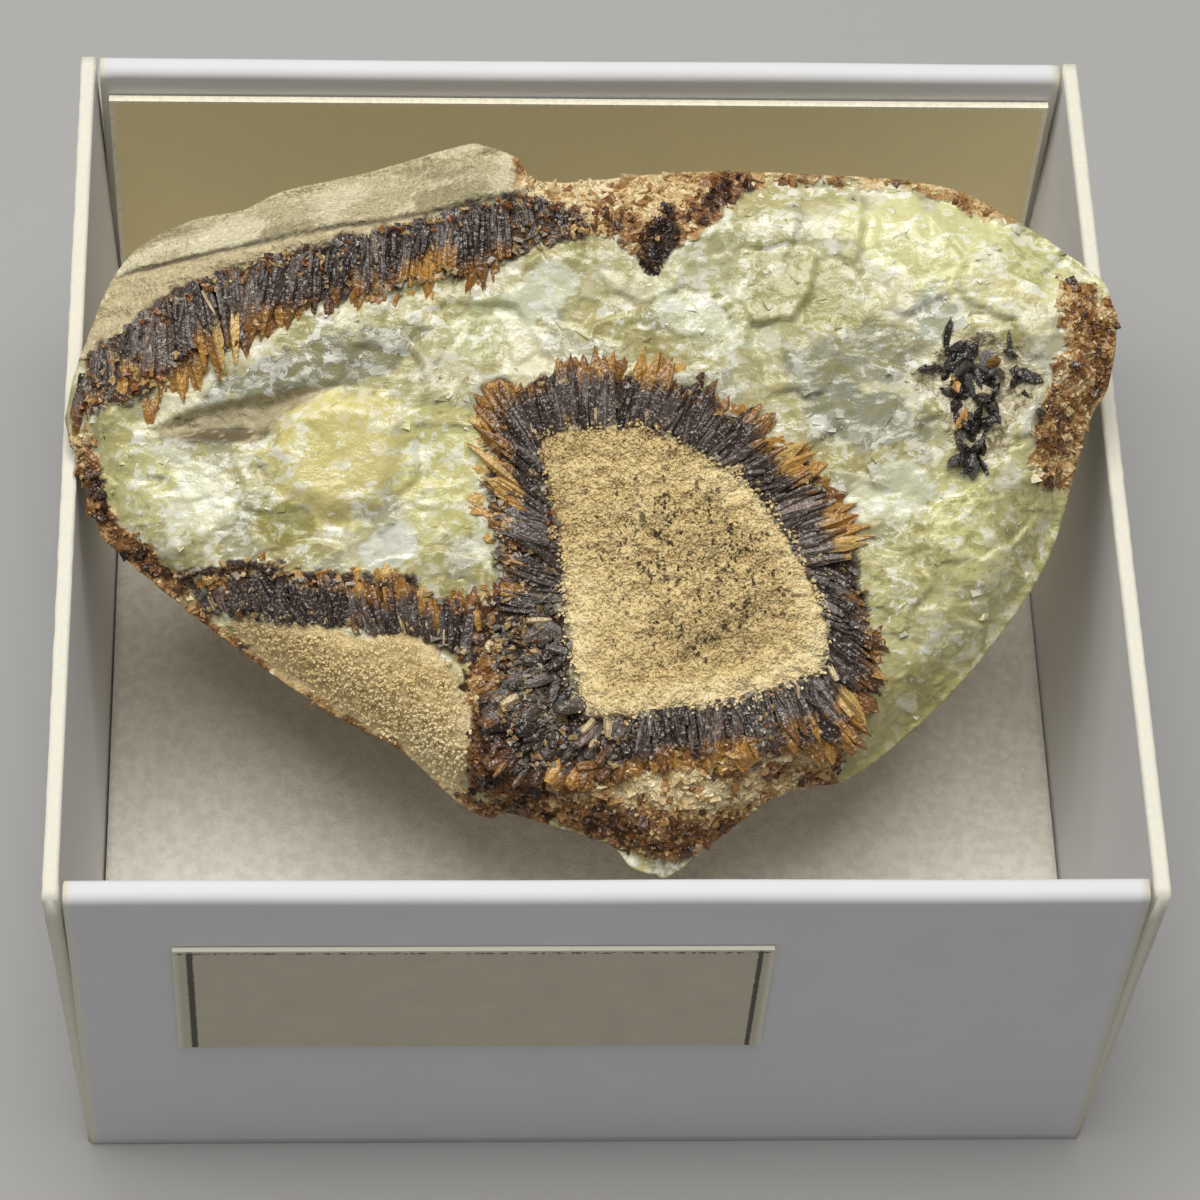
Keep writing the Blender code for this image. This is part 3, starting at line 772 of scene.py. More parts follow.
@dataclass
class Nodule:
    """The stone's body with its relief, its zones and their colours."""

    face: BrokenFace = field(default_factory=BrokenFace)
    foot: tuple[float, float, float] = (-0.6, -6.3, -17.1)
    foam_top: float = 4.1
    inner_x: float = 19.2
    inner_front: float = -18.6
    inner_back: float = 17.9
    rim_clear: float = 20.4
    rim_fade: float = 0.5
    past_rim: tuple[float, float] = (2.6, 6.0)
    last_angle: float = 85.0
    squares: int = 280
    rings: int = 18
    fringes: tuple[Fringe, ...] = (
        Fringe(
            "top_fringe",
            [(-19.9, 5.4), (-18.4, 6.5), (-17.1, 7.4), (-15.6, 8.2), (-13.9, 8.9), (-11.2, 9.7),
             (-8.5, 10.3), (-5.4, 11.1), (-3.8, 11.5), (-2.2, 11.6), (-0.6, 11.0)],
            [(-20.2, 2.4), (-18.6, 2.6), (-17.0, 3.2), (-15.8, 4.3), (-14.0, 4.9), (-12.4, 6.1),
             (-10.3, 6.8), (-7.7, 7.2), (-5.1, 7.9), (-2.6, 8.8), (-0.7, 9.9)],
        ),
        Fringe(
            "core_fringe",
            [(-1.4, -4.4), (-1.6, -2.3), (-1.7, -0.8), (-2.0, 0.6), (-2.3, 2.1), (-1.5, 2.7),
             (0.4, 2.8), (2.1, 2.6), (3.8, 1.8), (5.3, 0.9), (6.5, -0.4), (7.5, -2.0),
             (8.4, -3.7), (8.8, -5.4), (8.4, -6.6), (7.3, -7.3)],
            [(-4.9, -3.8), (-5.0, -2.3), (-5.1, -0.4), (-5.2, 1.2), (-4.9, 3.6), (-3.8, 4.7),
             (-0.8, 5.7), (1.5, 5.5), (3.6, 5.0), (6.2, 3.4), (8.5, 2.0), (9.8, 0.0),
             (10.6, -2.4), (11.1, -5.2), (10.8, -7.3), (9.2, -10.4)],
        ),
        Fringe(
            "low_fringe",
            [(-15.2, -4.3), (-12.9, -4.6), (-10.9, -4.8), (-9.0, -5.1), (-7.3, -5.1),
             (-5.1, -6.2)],
            [(-16.4, -2.3), (-14.1, -1.5), (-12.2, -1.8), (-10.0, -2.3), (-7.7, -2.5),
             (-4.8, -3.3)],
        ),
        Fringe(
            "side_fringe",
            [(-1.3, -4.4), (-1.1, -6.0), (-0.7, -7.4), (-0.1, -8.0), (1.2, -8.1)],
            [(-5.4, -4.8), (-5.0, -7.4), (-4.6, -9.8), (-3.0, -11.6), (0.6, -11.0)],
            Habit.CHUNKS,
        ),
        Fringe(
            "foot_fringe",
            [(1.2, -8.1), (3.0, -8.0), (6.3, -7.3), (8.2, -6.6)],
            [(0.8, -10.8), (3.4, -10.4), (6.6, -9.9), (9.6, -9.6)],
        ),
    )
    patches: tuple[Patch, ...] = (
        Patch(Spot(14.5, -3.0, 6.5, 4.5, 60), tone(196, 190, 132), -0.1, 0.1),
        Patch(Spot(11.5, -8.8, 4.0, 1.6, 45), tone(176, 168, 104), -0.3, 0.3),
        Patch(Spot(14.0, 9.4, 5.5, 1.8, -12), tone(220, 218, 156), 0.1, -0.2),
        Patch(Spot(6.0, 8.5, 5.0, 2.6, -10), tone(198, 194, 148), 0.0, 0.1),
        Patch(Spot(8.6, 7.2, 1.9, 2.4, 30), tone(184, 177, 122), -0.4, 0.4),
        Patch(Spot(-10.0, 1.7, 3.0, 2.7, 20), tone(222, 209, 134), 0.0, -0.2),
        Patch(Spot(-6.0, 1.2, 1.9, 3.2), tone(214, 208, 140), 0.1, -0.2),
        Patch(Spot(-15.9, 0.4, 2.1, 1.7, -20), tone(228, 228, 196), 0.4, -0.5),
        Patch(Spot(-18.2, 0.6, 1.8, 2.2, 40), tone(206, 200, 136), 0.05, 0.05),
        Patch(Spot(-8.0, -1.8, 1.3, 0.9, 30), tone(232, 234, 220), 0.5, -0.5),
        Patch(Spot(-12.0, -0.9, 1.3, 0.9, -30), tone(150, 142, 70), -0.4, 0.6),
        Patch(Spot(-4.2, -1.0, 0.9, 2.2, 10), tone(206, 208, 170), 0.2, -0.1),
        Patch(Spot(-10.6, 5.2, 4.4, 1.1, 18), tone(132, 130, 112), -0.12, 0.4),
        Patch(Spot(9.6, 5.4, 2.6, 1.4, 12), tone(150, 150, 130), -0.16, 0.3),
        Patch(Spot(10.2, 3.2, 2.6, 1.2, -8), tone(144, 146, 128), -0.2, 0.3),
        Patch(Spot(11.2, 0.3, 1.9, 1.2, 15), tone(226, 228, 196), 0.2, -0.4),
        Patch(Spot(-2.2, 8.0, 1.6, 1.1, 30), tone(230, 232, 204), 0.3, -0.4),
        Patch(Spot(3.6, 6.9, 2.2, 1.0, -30), tone(226, 228, 196), 0.3, -0.3),
        Patch(Spot(13.2, 7.4, 1.5, 1.1, 40), tone(186, 192, 168), 0.2, 0.0),
        Patch(Spot(-4.6, 6.4, 1.6, 1.3, 20), tone(206, 208, 158), 0.1, 0.0),
        Patch(Spot(15.0, 7.8, 2.0, 1.2), tone(226, 218, 164), 0.2, -0.2),
        Patch(Spot(13.8, -0.6, 1.4, 1.6), tone(220, 216, 150), 0.15, 0.0),
    )
    crust_shifts: tuple[Shift, ...] = (
        Shift(Spot(-3.4, -9.6, 2.2, 3.0), -0.2),
        Shift(Spot(0.4, 11.2, 3.6, 2.0), 0.24),
        Shift(Spot(0.9, 10.3, 0.7, 0.6), -0.3),
        Shift(Spot(2.8, -11.1, 3.4, 0.8, -4), 0.4),
        Shift(Spot(2.0, -12.9, 3.6, 0.9), -0.14),
        Shift(Spot(7.4, -10.2, 2.4, 1.0, 30), 0.16),
        Shift(Spot(2.2, 9.6, 0.8, 1.6, -15), -0.6),
        Shift(Spot(4.8, 11.4, 1.6, 0.7, 20), -0.35),
        Shift(Spot(9.5, 12.2, 4.0, 0.7), 0.1),
        Shift(Spot(18.6, 3.0, 1.2, 3.0), 0.04),
        Shift(Spot(-18.2, -0.8, 2.6, 1.6, -40), -0.12),
    )
    fringe_shifts: tuple[Shift, ...] = (
        Shift(Spot(-18.8, 4.0, 1.9, 1.7), 0.5),
        Shift(Spot(-14.6, 5.4, 1.1, 0.9), 0.35),
        Shift(Spot(-6.8, 8.1, 1.5, 0.9, 20), 0.5),
        Shift(Spot(-4.0, 10.0, 1.8, 1.2), 0.16),
        Shift(Spot(-4.7, 0.2, 1.0, 3.6), 0.4),
        Shift(Spot(-6.6, -3.8, 2.4, 1.3, -12), 0.42),
        Shift(Spot(-15.8, -2.7, 1.2, 0.9), 0.35),
        Shift(Spot(8.4, 1.6, 1.2, 1.0, -50), 0.25),
        Shift(Spot(9.6, -8.4, 1.4, 1.8, 30), 0.2),
        Shift(Spot(1.0, 4.4, 2.6, 1.2), -0.1),
        Shift(Spot(10.2, -3.8, 1.2, 2.8), -0.08),
        Shift(Spot(-3.6, -7.4, 2.2, 4.4), -0.8),
        Shift(Spot(0.6, -10.4, 1.8, 1.4), -0.3),
    )

    def zones(self, uv: np.ndarray) -> dict[str, np.ndarray]:
        """How far points lie inside each zone of the face.

        Args:
            uv: points of the face.

        Returns:
            Millimetres inside each zone by name, below 0 outside it.
        """
        f = self.face
        crust = [depth_inside(uv, o) for o in (f.top_crust, f.right_crust, f.low_crust)]
        bands = [depth_inside(uv, fringe.outline()) for fringe in self.fringes]
        edge = depth_inside(uv, f.outline)
        over = f.past_crack(uv)
        left = np.minimum(3.0, -2.4 - uv[:, 0])
        low_rim = np.where((uv[:, 1] < 0) & (uv[:, 0] < -2), 0.55 - edge, -3.0)
        left_rim = np.where((uv[:, 0] < -16) & (uv[:, 1] < 2.5), 0.9 - edge, -3.0)
        zone = {
            "core": np.maximum(depth_inside(uv, f.core), depth_inside(uv, self.fringes[1].base)),
            "matrix": depth_inside(uv, f.matrix),
            "lump": depth_inside(uv, f.lump),
            "sliver": depth_inside(uv, f.sliver),
            "hollow": depth_inside(uv, f.hollow),
            "crust": np.max([*crust, low_rim, left_rim], axis=0),
            "fringe": np.max(bands, axis=0),
            "strip": np.minimum(above_line(uv, self.fringes[0].base), left),
            "rind": np.minimum(np.where(over > 0, over, -0.4), left),
            "edge": edge,
        }
        names = ("core", "matrix", "sliver", "hollow", "crust", "fringe", "strip")
        zone["calcite"] = -np.max([zone[name] for name in names], axis=0)
        return zone

    def facets(self, uv: np.ndarray) -> tuple[np.ndarray, np.ndarray, np.ndarray]:
        """Broken pieces of the calcite at three sizes.

        Args:
            uv: points of the face.

        Returns:
            Height of the large pieces, height of the smaller ones, and a mark for each size.
        """
        warp = np.stack([grain(uv, 1.1, 4.4), grain(uv, 1.1, 9.4)], axis=1)
        large, a = Breaks(2.4, 0.14, 0.12, 2.9).over(uv + 0.3 * warp)
        small, b = Breaks(1.0, 0.04, 0.11, 6.1).over(uv + 0.25 * warp)
        tiny, c = Breaks(0.45, 0.015, 0.09, 7.7).over(uv + 0.2 * warp)
        return large, small + tiny, np.stack([a, b, c], axis=1)

    def heights(self, uv: np.ndarray, zone: dict[str, np.ndarray]) -> np.ndarray:
        """Relief of the face with its facets, lumps, grains and hollows.

        Args:
            uv: points of the face.
            zone: how far they lie inside each zone.

        Returns:
            Height of each point in millimetres.
        """
        base = self.face.broad(uv)
        large, small, _ = self.facets(uv)
        calm = step(zone["lump"], -0.3, 0.4)
        facets = large * (1 - 0.8 * calm) + small * (1 - 0.6 * calm)
        fine = 0.5 * grain(uv, 2.0, 0.3) + 0.5 * grain(uv, 4.1, 0.9)
        stone = 1.0 - step(zone["calcite"], -0.2, 0.25)
        height = base + facets * (1 - stone)
        height += 0.07 * fine * stone
        clump = np.abs(grain(uv, 1.3, 5.5)) + 0.5 * np.abs(grain(uv * [1.6, 1.0], 2.4, 3.5))
        height += step(zone["core"], -0.2, 0.3) * (0.28 - 0.3 * clump)
        height += 0.6 * step(zone["lump"], -0.25, 0.9)
        height -= 0.5 * step(zone["sliver"], -0.1, 0.5)
        height -= 0.6 * step(zone["hollow"], -0.3, 0.8)
        height -= 0.25 * step(zone["fringe"], 0.1, 0.8)
        height += 0.3 * step(zone["crust"], -0.2, 0.4) * grain(uv, 1.3, 2.2)
        level = above_line(uv, self.face.crack)
        lens = np.stack([uv[:, 0] * 0.42, level * 1.25], axis=1)
        ridges = 0.34 * grain(lens, 1.0, 6.6) + 0.16 * grain(lens, 2.3, 1.6)
        height += step(zone["strip"], 0.0, 0.5) * ridges
        gap = line_distance(uv, smooth_line(self.face.crack, 80))
        height -= 0.22 * np.exp(-((gap / 0.12) ** 2)) * step(zone["edge"], 0.0, 0.4)
        return height

    def kept_in_tray(self, uvw: np.ndarray) -> np.ndarray:
        """Points moved clear of the foam and, below the rims, of the walls."""
        place = self.face.placed(uvw)
        above = np.clip((place[:, 2] - self.rim_clear) / self.rim_fade, 0, 1)
        limit = self.inner_x + self.past_rim[0] * above
        place[:, 0] = np.clip(place[:, 0], -limit, limit)
        back = self.inner_back + self.past_rim[1] * above
        place[:, 1] = np.clip(place[:, 1], self.inner_front, back)
        place[:, 2] = np.maximum(place[:, 2], self.foam_top)
        return self.face.unplaced(place)

    def face_grid(self) -> tuple[np.ndarray, list, np.ndarray]:
        """A square grid drawn out to the nodule's outline.

        Returns:
            Points of the face, the grid's faces, and the numbers of the rim's points.
        """
        n = self.squares
        a, b = np.meshgrid(np.linspace(-1, 1, n + 1), np.linspace(-1, 1, n + 1), indexing="ij")
        wide = np.abs(a) >= np.abs(b)
        radius = np.where(wide, a, b)
        ratio = np.where(wide, b / np.where(a == 0, 1, a), a / np.where(b == 0, 1, b))
        angle = np.where(wide, ratio * math.pi / 4, math.pi / 2 - ratio * math.pi / 4)
        x, y = radius * np.cos(angle), radius * np.sin(angle)
        rim = smooth_line(self.face.outline, 4000, closed=True) - np.array(self.face.middle)
        turn = np.arctan2(rim[:, 1], rim[:, 0])
        order = np.argsort(turn)
        turn, reach = turn[order], np.hypot(*rim[order].T)
        heading = np.arctan2(y * 0.72, x)
        size = np.interp(heading.ravel(), turn, reach, period=2 * math.pi).reshape(x.shape)
        r = np.hypot(x, y)
        u = self.face.middle[0] + r * size * np.cos(heading)
        v = self.face.middle[1] + r * size * np.sin(heading)
        uv = np.stack([u.ravel(), v.ravel()], axis=1)
        number = np.arange((n + 1) ** 2).reshape(n + 1, n + 1)
        quads = np.stack(
            [number[:-1, :-1], number[1:, :-1], number[1:, 1:], number[:-1, 1:]], axis=-1
        ).reshape(-1, 4)
        border = np.r_[number[:-1, 0], number[-1, :-1], number[:0:-1, -1], number[0, :0:-1]]
        return uv, quads.tolist(), border

    def underside(self, rim: np.ndarray) -> np.ndarray:
        """Rings of points from the rim down to the foot.

        Args:
            rim: the rim's points in the face's axes.

        Returns:
            The rings' points, ring after ring, without the foot itself.
        """
        foot = np.array(self.foot)
        count = len(rim)
        length = np.linalg.norm(rim - np.roll(rim, 1, axis=0), axis=1).sum()
        wave = np.fft.fftfreq(count, d=length / count)
        tones = np.fft.fft(rim, axis=0)
        rings = []
        for angle in self.last_angle * np.linspace(0, 1, self.rings + 1)[1:] ** 1.35:
            a = math.radians(angle)
            spread = 1.35 * math.sqrt(max(angle - 4.0, 0.0) / 6.6)
            calm = np.exp(-2 * (math.pi * wave * spread) ** 2)[:, None]
            place = np.real(np.fft.ifft(tones * calm, axis=0))
            spot = np.c_[place[:, :2] * 0.2, np.full(count, angle * 0.05)]
            lump = solid_noise(spot)
            pit = solid_noise(spot * 3.1 + [4.0, 0.0, 0.0])
            ledge = np.abs(solid_noise(spot * 1.7 + [0.0, 9.0, 0.0]))
            fine = solid_noise(spot * 9.0) + 0.5 * solid_noise(spot * 19.0)
            form = 0.16 * lump + 0.05 * pit - 0.1 * ledge + 0.012 * fine
            shape = 1.0 + math.sin(2 * a) * form
            narrow = (math.cos(a) ** 0.84 * shape)[:, None]
            ring = foot + (place - foot) * narrow
            deep = math.sin(a) ** 0.92
            ring[:, 2] = place[:, 2] + (foot[2] - place[:, 2]) * deep
            rings.append(ring)
        return np.vstack(rings)

    def calcite(self, uv: np.ndarray) -> tuple[np.ndarray, np.ndarray, np.ndarray]:
        """Colour of the calcite, how frosty it is and how clear.

        Args:
            uv: points of the face.

        Returns:
            A colour, a frostiness and a clearness for each point.
        """
        _, _, mark = self.facets(uv)
        large, small, tiny = mark.T
        swell = grain(uv, 0.55, 8.8)
        light = step(0.5 * large + 0.5 * small + 0.4 * swell, 0.3, 0.7)
        colour = np.tile(tone(188, 180, 128), (len(uv), 1))
        colour = leaned(colour, tone(216, 210, 172), light)
        colour = leaned(colour, tone(164, 162, 134), 0.7 * step(small, 0.72, 0.76))
        frost = 0.14 + 0.25 * small + 0.4 * step(tiny, 0.74, 0.8) + 0.25 * grain(uv, 0.33, 1.8)
        clear = 0.35 + 0.5 * (0.5 - large) + 0.3 * (0.5 - small) + 0.2 * grain(uv, 0.45, 12.2)
        fray = 0.3 * (small - 0.5) + 0.25 * grain(uv, 1.5, 2.2) + 0.15 * grain(uv, 3.6, 4.1)
        for patch in self.patches:
            w = step(patch.spot.weight(uv) + fray, 0.36, 0.62)
            colour = leaned(colour, patch.colour, 0.8 * w)
            frost += w * patch.frost
            clear += w * patch.clear
        return colour, frost, clear

    def crust_scale(self, uv: np.ndarray) -> np.ndarray:
        """Where the crusts' colour lies on their palette."""
        scale = 0.54 + 0.26 * grain(uv, 0.6, 5.0) + 0.28 * grain(uv, 1.7, 3.3)
        return np.clip(scale + shifted(uv, self.crust_shifts), 0, 1)

    def sand_scale(self, uv: np.ndarray, inner: np.ndarray) -> np.ndarray:
        """Where the sandy core's colour lies on its palette.

        Args:
            uv: points of the face.
            inner: how far they lie inside the core.

        Returns:
            A place from 0 to 1 on the palette for each point.
        """
        level = np.stack([uv[:, 0] * 0.6, uv[:, 1] * 1.3], axis=1)
        cloud = 0.5 * grain(level, 0.35, 2.7) + 0.3 * grain(level, 1.1, 7.9)
        dark = Spot(4.4, -2.4, 3.4, 3.8, -30).weight(uv) * 0.16
        rim = 1 - step(inner, 0.4, 1.6)
        side = step(0.5 * uv[:, 0] - 0.6 * uv[:, 1], 0.0, 2.5)
        return np.clip(0.62 + 0.36 * cloud - dark + rim * (0.46 * side - 0.1), 0, 1)

    def coat(self, uv: np.ndarray, zone: dict[str, np.ndarray]) -> np.ndarray:
        """The three colours and the surface of each point of the face.

        Args:
            uv: points of the face.
            zone: how far they lie inside each zone.

        Returns:
            Twelve numbers a point, as in a Look.
        """
        ragged = 0.4 * grain(uv, 0.9, 1.5) + 0.3 * grain(uv, 1.9, 2.5) + 0.2 * grain(uv, 4.3, 6.5)
        colour, frost, clear = self.calcite(uv)
        deep = leaned(colour, tone(150, 142, 88), np.clip(clear, 0.1, 0.6))
        lit = leaned(colour, tone(244, 243, 230), np.clip(frost + 0.15, 0.1, 0.75))
        rest = np.tile([0.0, 0.82, 0.24], (len(uv), 1))
        rows = np.hstack([deep, colour, lit, rest])

        def lay(name: str, look: Look | np.ndarray, loose: float = 1.0) -> None:
            """Lay one zone's look over what is there."""
            share = step(zone[name] + loose * ragged, -0.08, 0.12)
            rows[:] = leaned(rows, look.row() if isinstance(look, Look) else look, share)

        strip = Look(tone(148, 132, 92), tone(198, 182, 142), tone(224, 210, 172), 0.5, 0.0, 1.0)
        rind = Look(tone(162, 149, 110), tone(190, 179, 140), tone(220, 210, 176), 0.7, 0.0, 1.3)
        dull = Look(tone(136, 126, 92), tone(162, 151, 116), tone(190, 178, 138), 0.7, 0.0, 1.2)
        cream = Look(tone(206, 195, 156), tone(226, 217, 182), tone(240, 233, 206), 0.6, 0.0, 1.0)
        fringe = Look(tone(40, 30, 26), tone(70, 54, 44), tone(140, 112, 76), 0.6, 0.2, 1.2)
        matrix = Look(tone(158, 138, 92), tone(222, 200, 150), tone(244, 228, 184), 0.5, 0.0, 1.0)
        sliver = Look(tone(124, 112, 80), tone(172, 160, 124), tone(192, 182, 148), 0.0, 0.3, 0.4)
        nest = Look(tone(128, 116, 84), tone(192, 182, 146), tone(232, 226, 200), 0.3, 0.5, 0.9)
        lay("strip", strip, 0.4)
        level = above_line(uv, self.face.crack)
        lens = grain(np.stack([uv[:, 0] * 0.34, level * 0.9], axis=1), 1.0, 6.6)
        streak = grain(np.stack([uv[:, 0] * 0.7, level * 2.4], axis=1), 1.0, 2.6)
        fray = 0.22 * grain(uv, 2.6, 3.9) + 0.16 * grain(uv, 6.0, 7.3)
        share = step(lens + 0.35 * streak + fray, 0.14, 0.26)
        pale = grain(np.stack([uv[:, 0] * 0.5, level], axis=1), 0.9, 9.1) + fray
        pale = 0.66 * step(pale, -0.05, 0.22)
        ground = leaned(np.tile(rind.row(), (len(uv), 1)), cream.row(), pale)
        lay("rind", leaned(ground, dull.row(), share), 0.6)
        lay("crust", graded(CRUST, self.crust_scale(uv), (-0.2, 0.22), (0.5, 0.25, 1.2)))
        lay("fringe", fringe)
        lay("matrix", matrix, 0.6)
        sand = self.sand_scale(uv, zone["core"])
        lay("core", graded(SAND, sand, (-0.32, 0.16), (1.0, 0.0, 1.6)), 0.6)
        lay("sliver", sliver, 0.3)
        # Painted shade: a thin olive-brown lens across the sliver stands in for the shadow in a
        # narrow gap there.
        seam = np.abs(grain(uv * [0.8, 1.4], 1.0, 5.5) + 0.3 * fray)
        gap = Spot(-14.5, 2.5, 2.0, 0.34, 3).weight(uv) * (0.85 * step(seam, 0.02, 0.07))
        rows[:, :9] = leaned(rows[:, :9], tone(82, 70, 40) * 3, gap)
        lay("hollow", nest, 0.8)
        # Painted shade: all three colours are darkened along the crack, standing in for the shadow
        # in its groove.
        gap = line_distance(uv, smooth_line(self.face.crack, 80)) + 0.06 * grain(uv, 3.0, 4.0)
        dark = 0.75 * (1 - step(gap, 0.04, 0.16)) * step(zone["edge"], 0.0, 0.3)
        rows[:, :9] *= (1 - dark)[:, None]
        return rows

    def skin(self, points: np.ndarray) -> np.ndarray:
        """The look of the nodule's outer side.

        Args:
            points: points of the outer side, in the face's axes.

        Returns:
            Twelve numbers a point, as in a Look.
        """
        depth = -points[:, 2]
        swell = solid_noise(points * 0.25) + 0.5 * solid_noise(points * 0.8)
        rind = Look(tone(112, 100, 72), tone(172, 158, 120), tone(212, 200, 160), 0.35, 0.0, 1.3)
        rows = np.tile(rind.row(), (len(points), 1))
        scale = np.clip(0.55 + 0.5 * swell, 0, 1)
        brown = graded(CRUST, scale, (-0.2, 0.22), (0.5, 0.15, 1.3))
        upper = step(points[:, 0], -4.0, 0.0) * (1 - step(depth + 1.4 * swell, 1.8, 3.6))
        rows = leaned(rows, brown, upper)
        clear = Look(tone(132, 128, 66), tone(190, 186, 116), tone(226, 222, 172), 0.0, 0.7, 0.5)
        side = step(points[:, 0], 9.0, 12.0) * (1 - step(points[:, 1], 0.0, 2.0))
        side *= 1 - step(depth + 1.6 * swell, 2.2, 4.5)
        return leaned(rows, clear.row(), side)

    def body(self) -> bpy.types.Object:
        """The stone without its standing crystals, as one closed mesh.

        Returns:
            The piece that stands for the nodule.
        """
        uv, faces, border = self.face_grid()
        zone = self.zones(uv)
        top = np.c_[uv, self.heights(uv, zone)]
        below = self.underside(top[border])
        points = np.vstack([top, below, [self.foot]])
        count, first = len(border), len(top)
        ring_of = np.vstack([border, np.arange(len(below)).reshape(-1, count) + first])
        for upper, lower in zip(ring_of, ring_of[1:]):
            quads = np.stack([np.roll(upper, -1), upper, lower, np.roll(lower, -1)], axis=1)
            faces += quads.tolist()
        last = ring_of[-1]
        end = len(points) - 1
        faces += [[int(b), int(a), end] for a, b in zip(last, np.roll(last, -1))]
        points = self.kept_in_tray(points)
        obj = new_mesh("nodule_stone", self.face.placed(points) * MM, faces)
        rows = np.vstack([self.coat(uv, zone), self.skin(points[first:])])
        for name, values in self.carried(rows).items():
            carry(obj, name, values)
        obj.data.materials.append(StoneFinish().material())
        return obj

    def carried(self, rows: np.ndarray) -> dict[str, np.ndarray]:
        """Looks as the values that the stone's finish reads.

        Args:
            rows: twelve numbers a point, as in a Look.

        Returns:
            The values by name.
        """
        one = np.ones(len(rows))
        values = {"fine": rows[:, 9], "wet": rows[:, 10], "rug": rows[:, 11]}
        for name, place in (("low", 0), ("middle", 3), ("high", 6)):
            values[name] = np.c_[rows[:, place : place + 3], one]
        return values

    def surface(self, uv: np.ndarray) -> np.ndarray:
        """Height of the stone's face at any points."""
        return self.heights(uv, self.zones(uv))

    def slope(self, uv: np.ndarray, reach: float = 0.15) -> np.ndarray:
        """Which way the stone's face looks at each point, in the face's axes."""
        here = self.surface(uv)
        du = (self.surface(uv + [reach, 0.0]) - here) / reach
        dv = (self.surface(uv + [0.0, reach]) - here) / reach
        return even(np.stack([-du, -dv, np.ones(len(uv))], axis=1))


class CrystalShape(Enum):
    """Crystal shapes: sides (0 for a block), foot width, end width, and how uneven they are."""

    NEEDLE = (6, 0.95, 0.6, 0.05)
    SPEAR = (5, 0.9, 0.06, 0.07)
    PLATE = (0, 1.0, 1.0, 0.22)
    GRAIN = (0, 1.0, 1.0, 0.34)


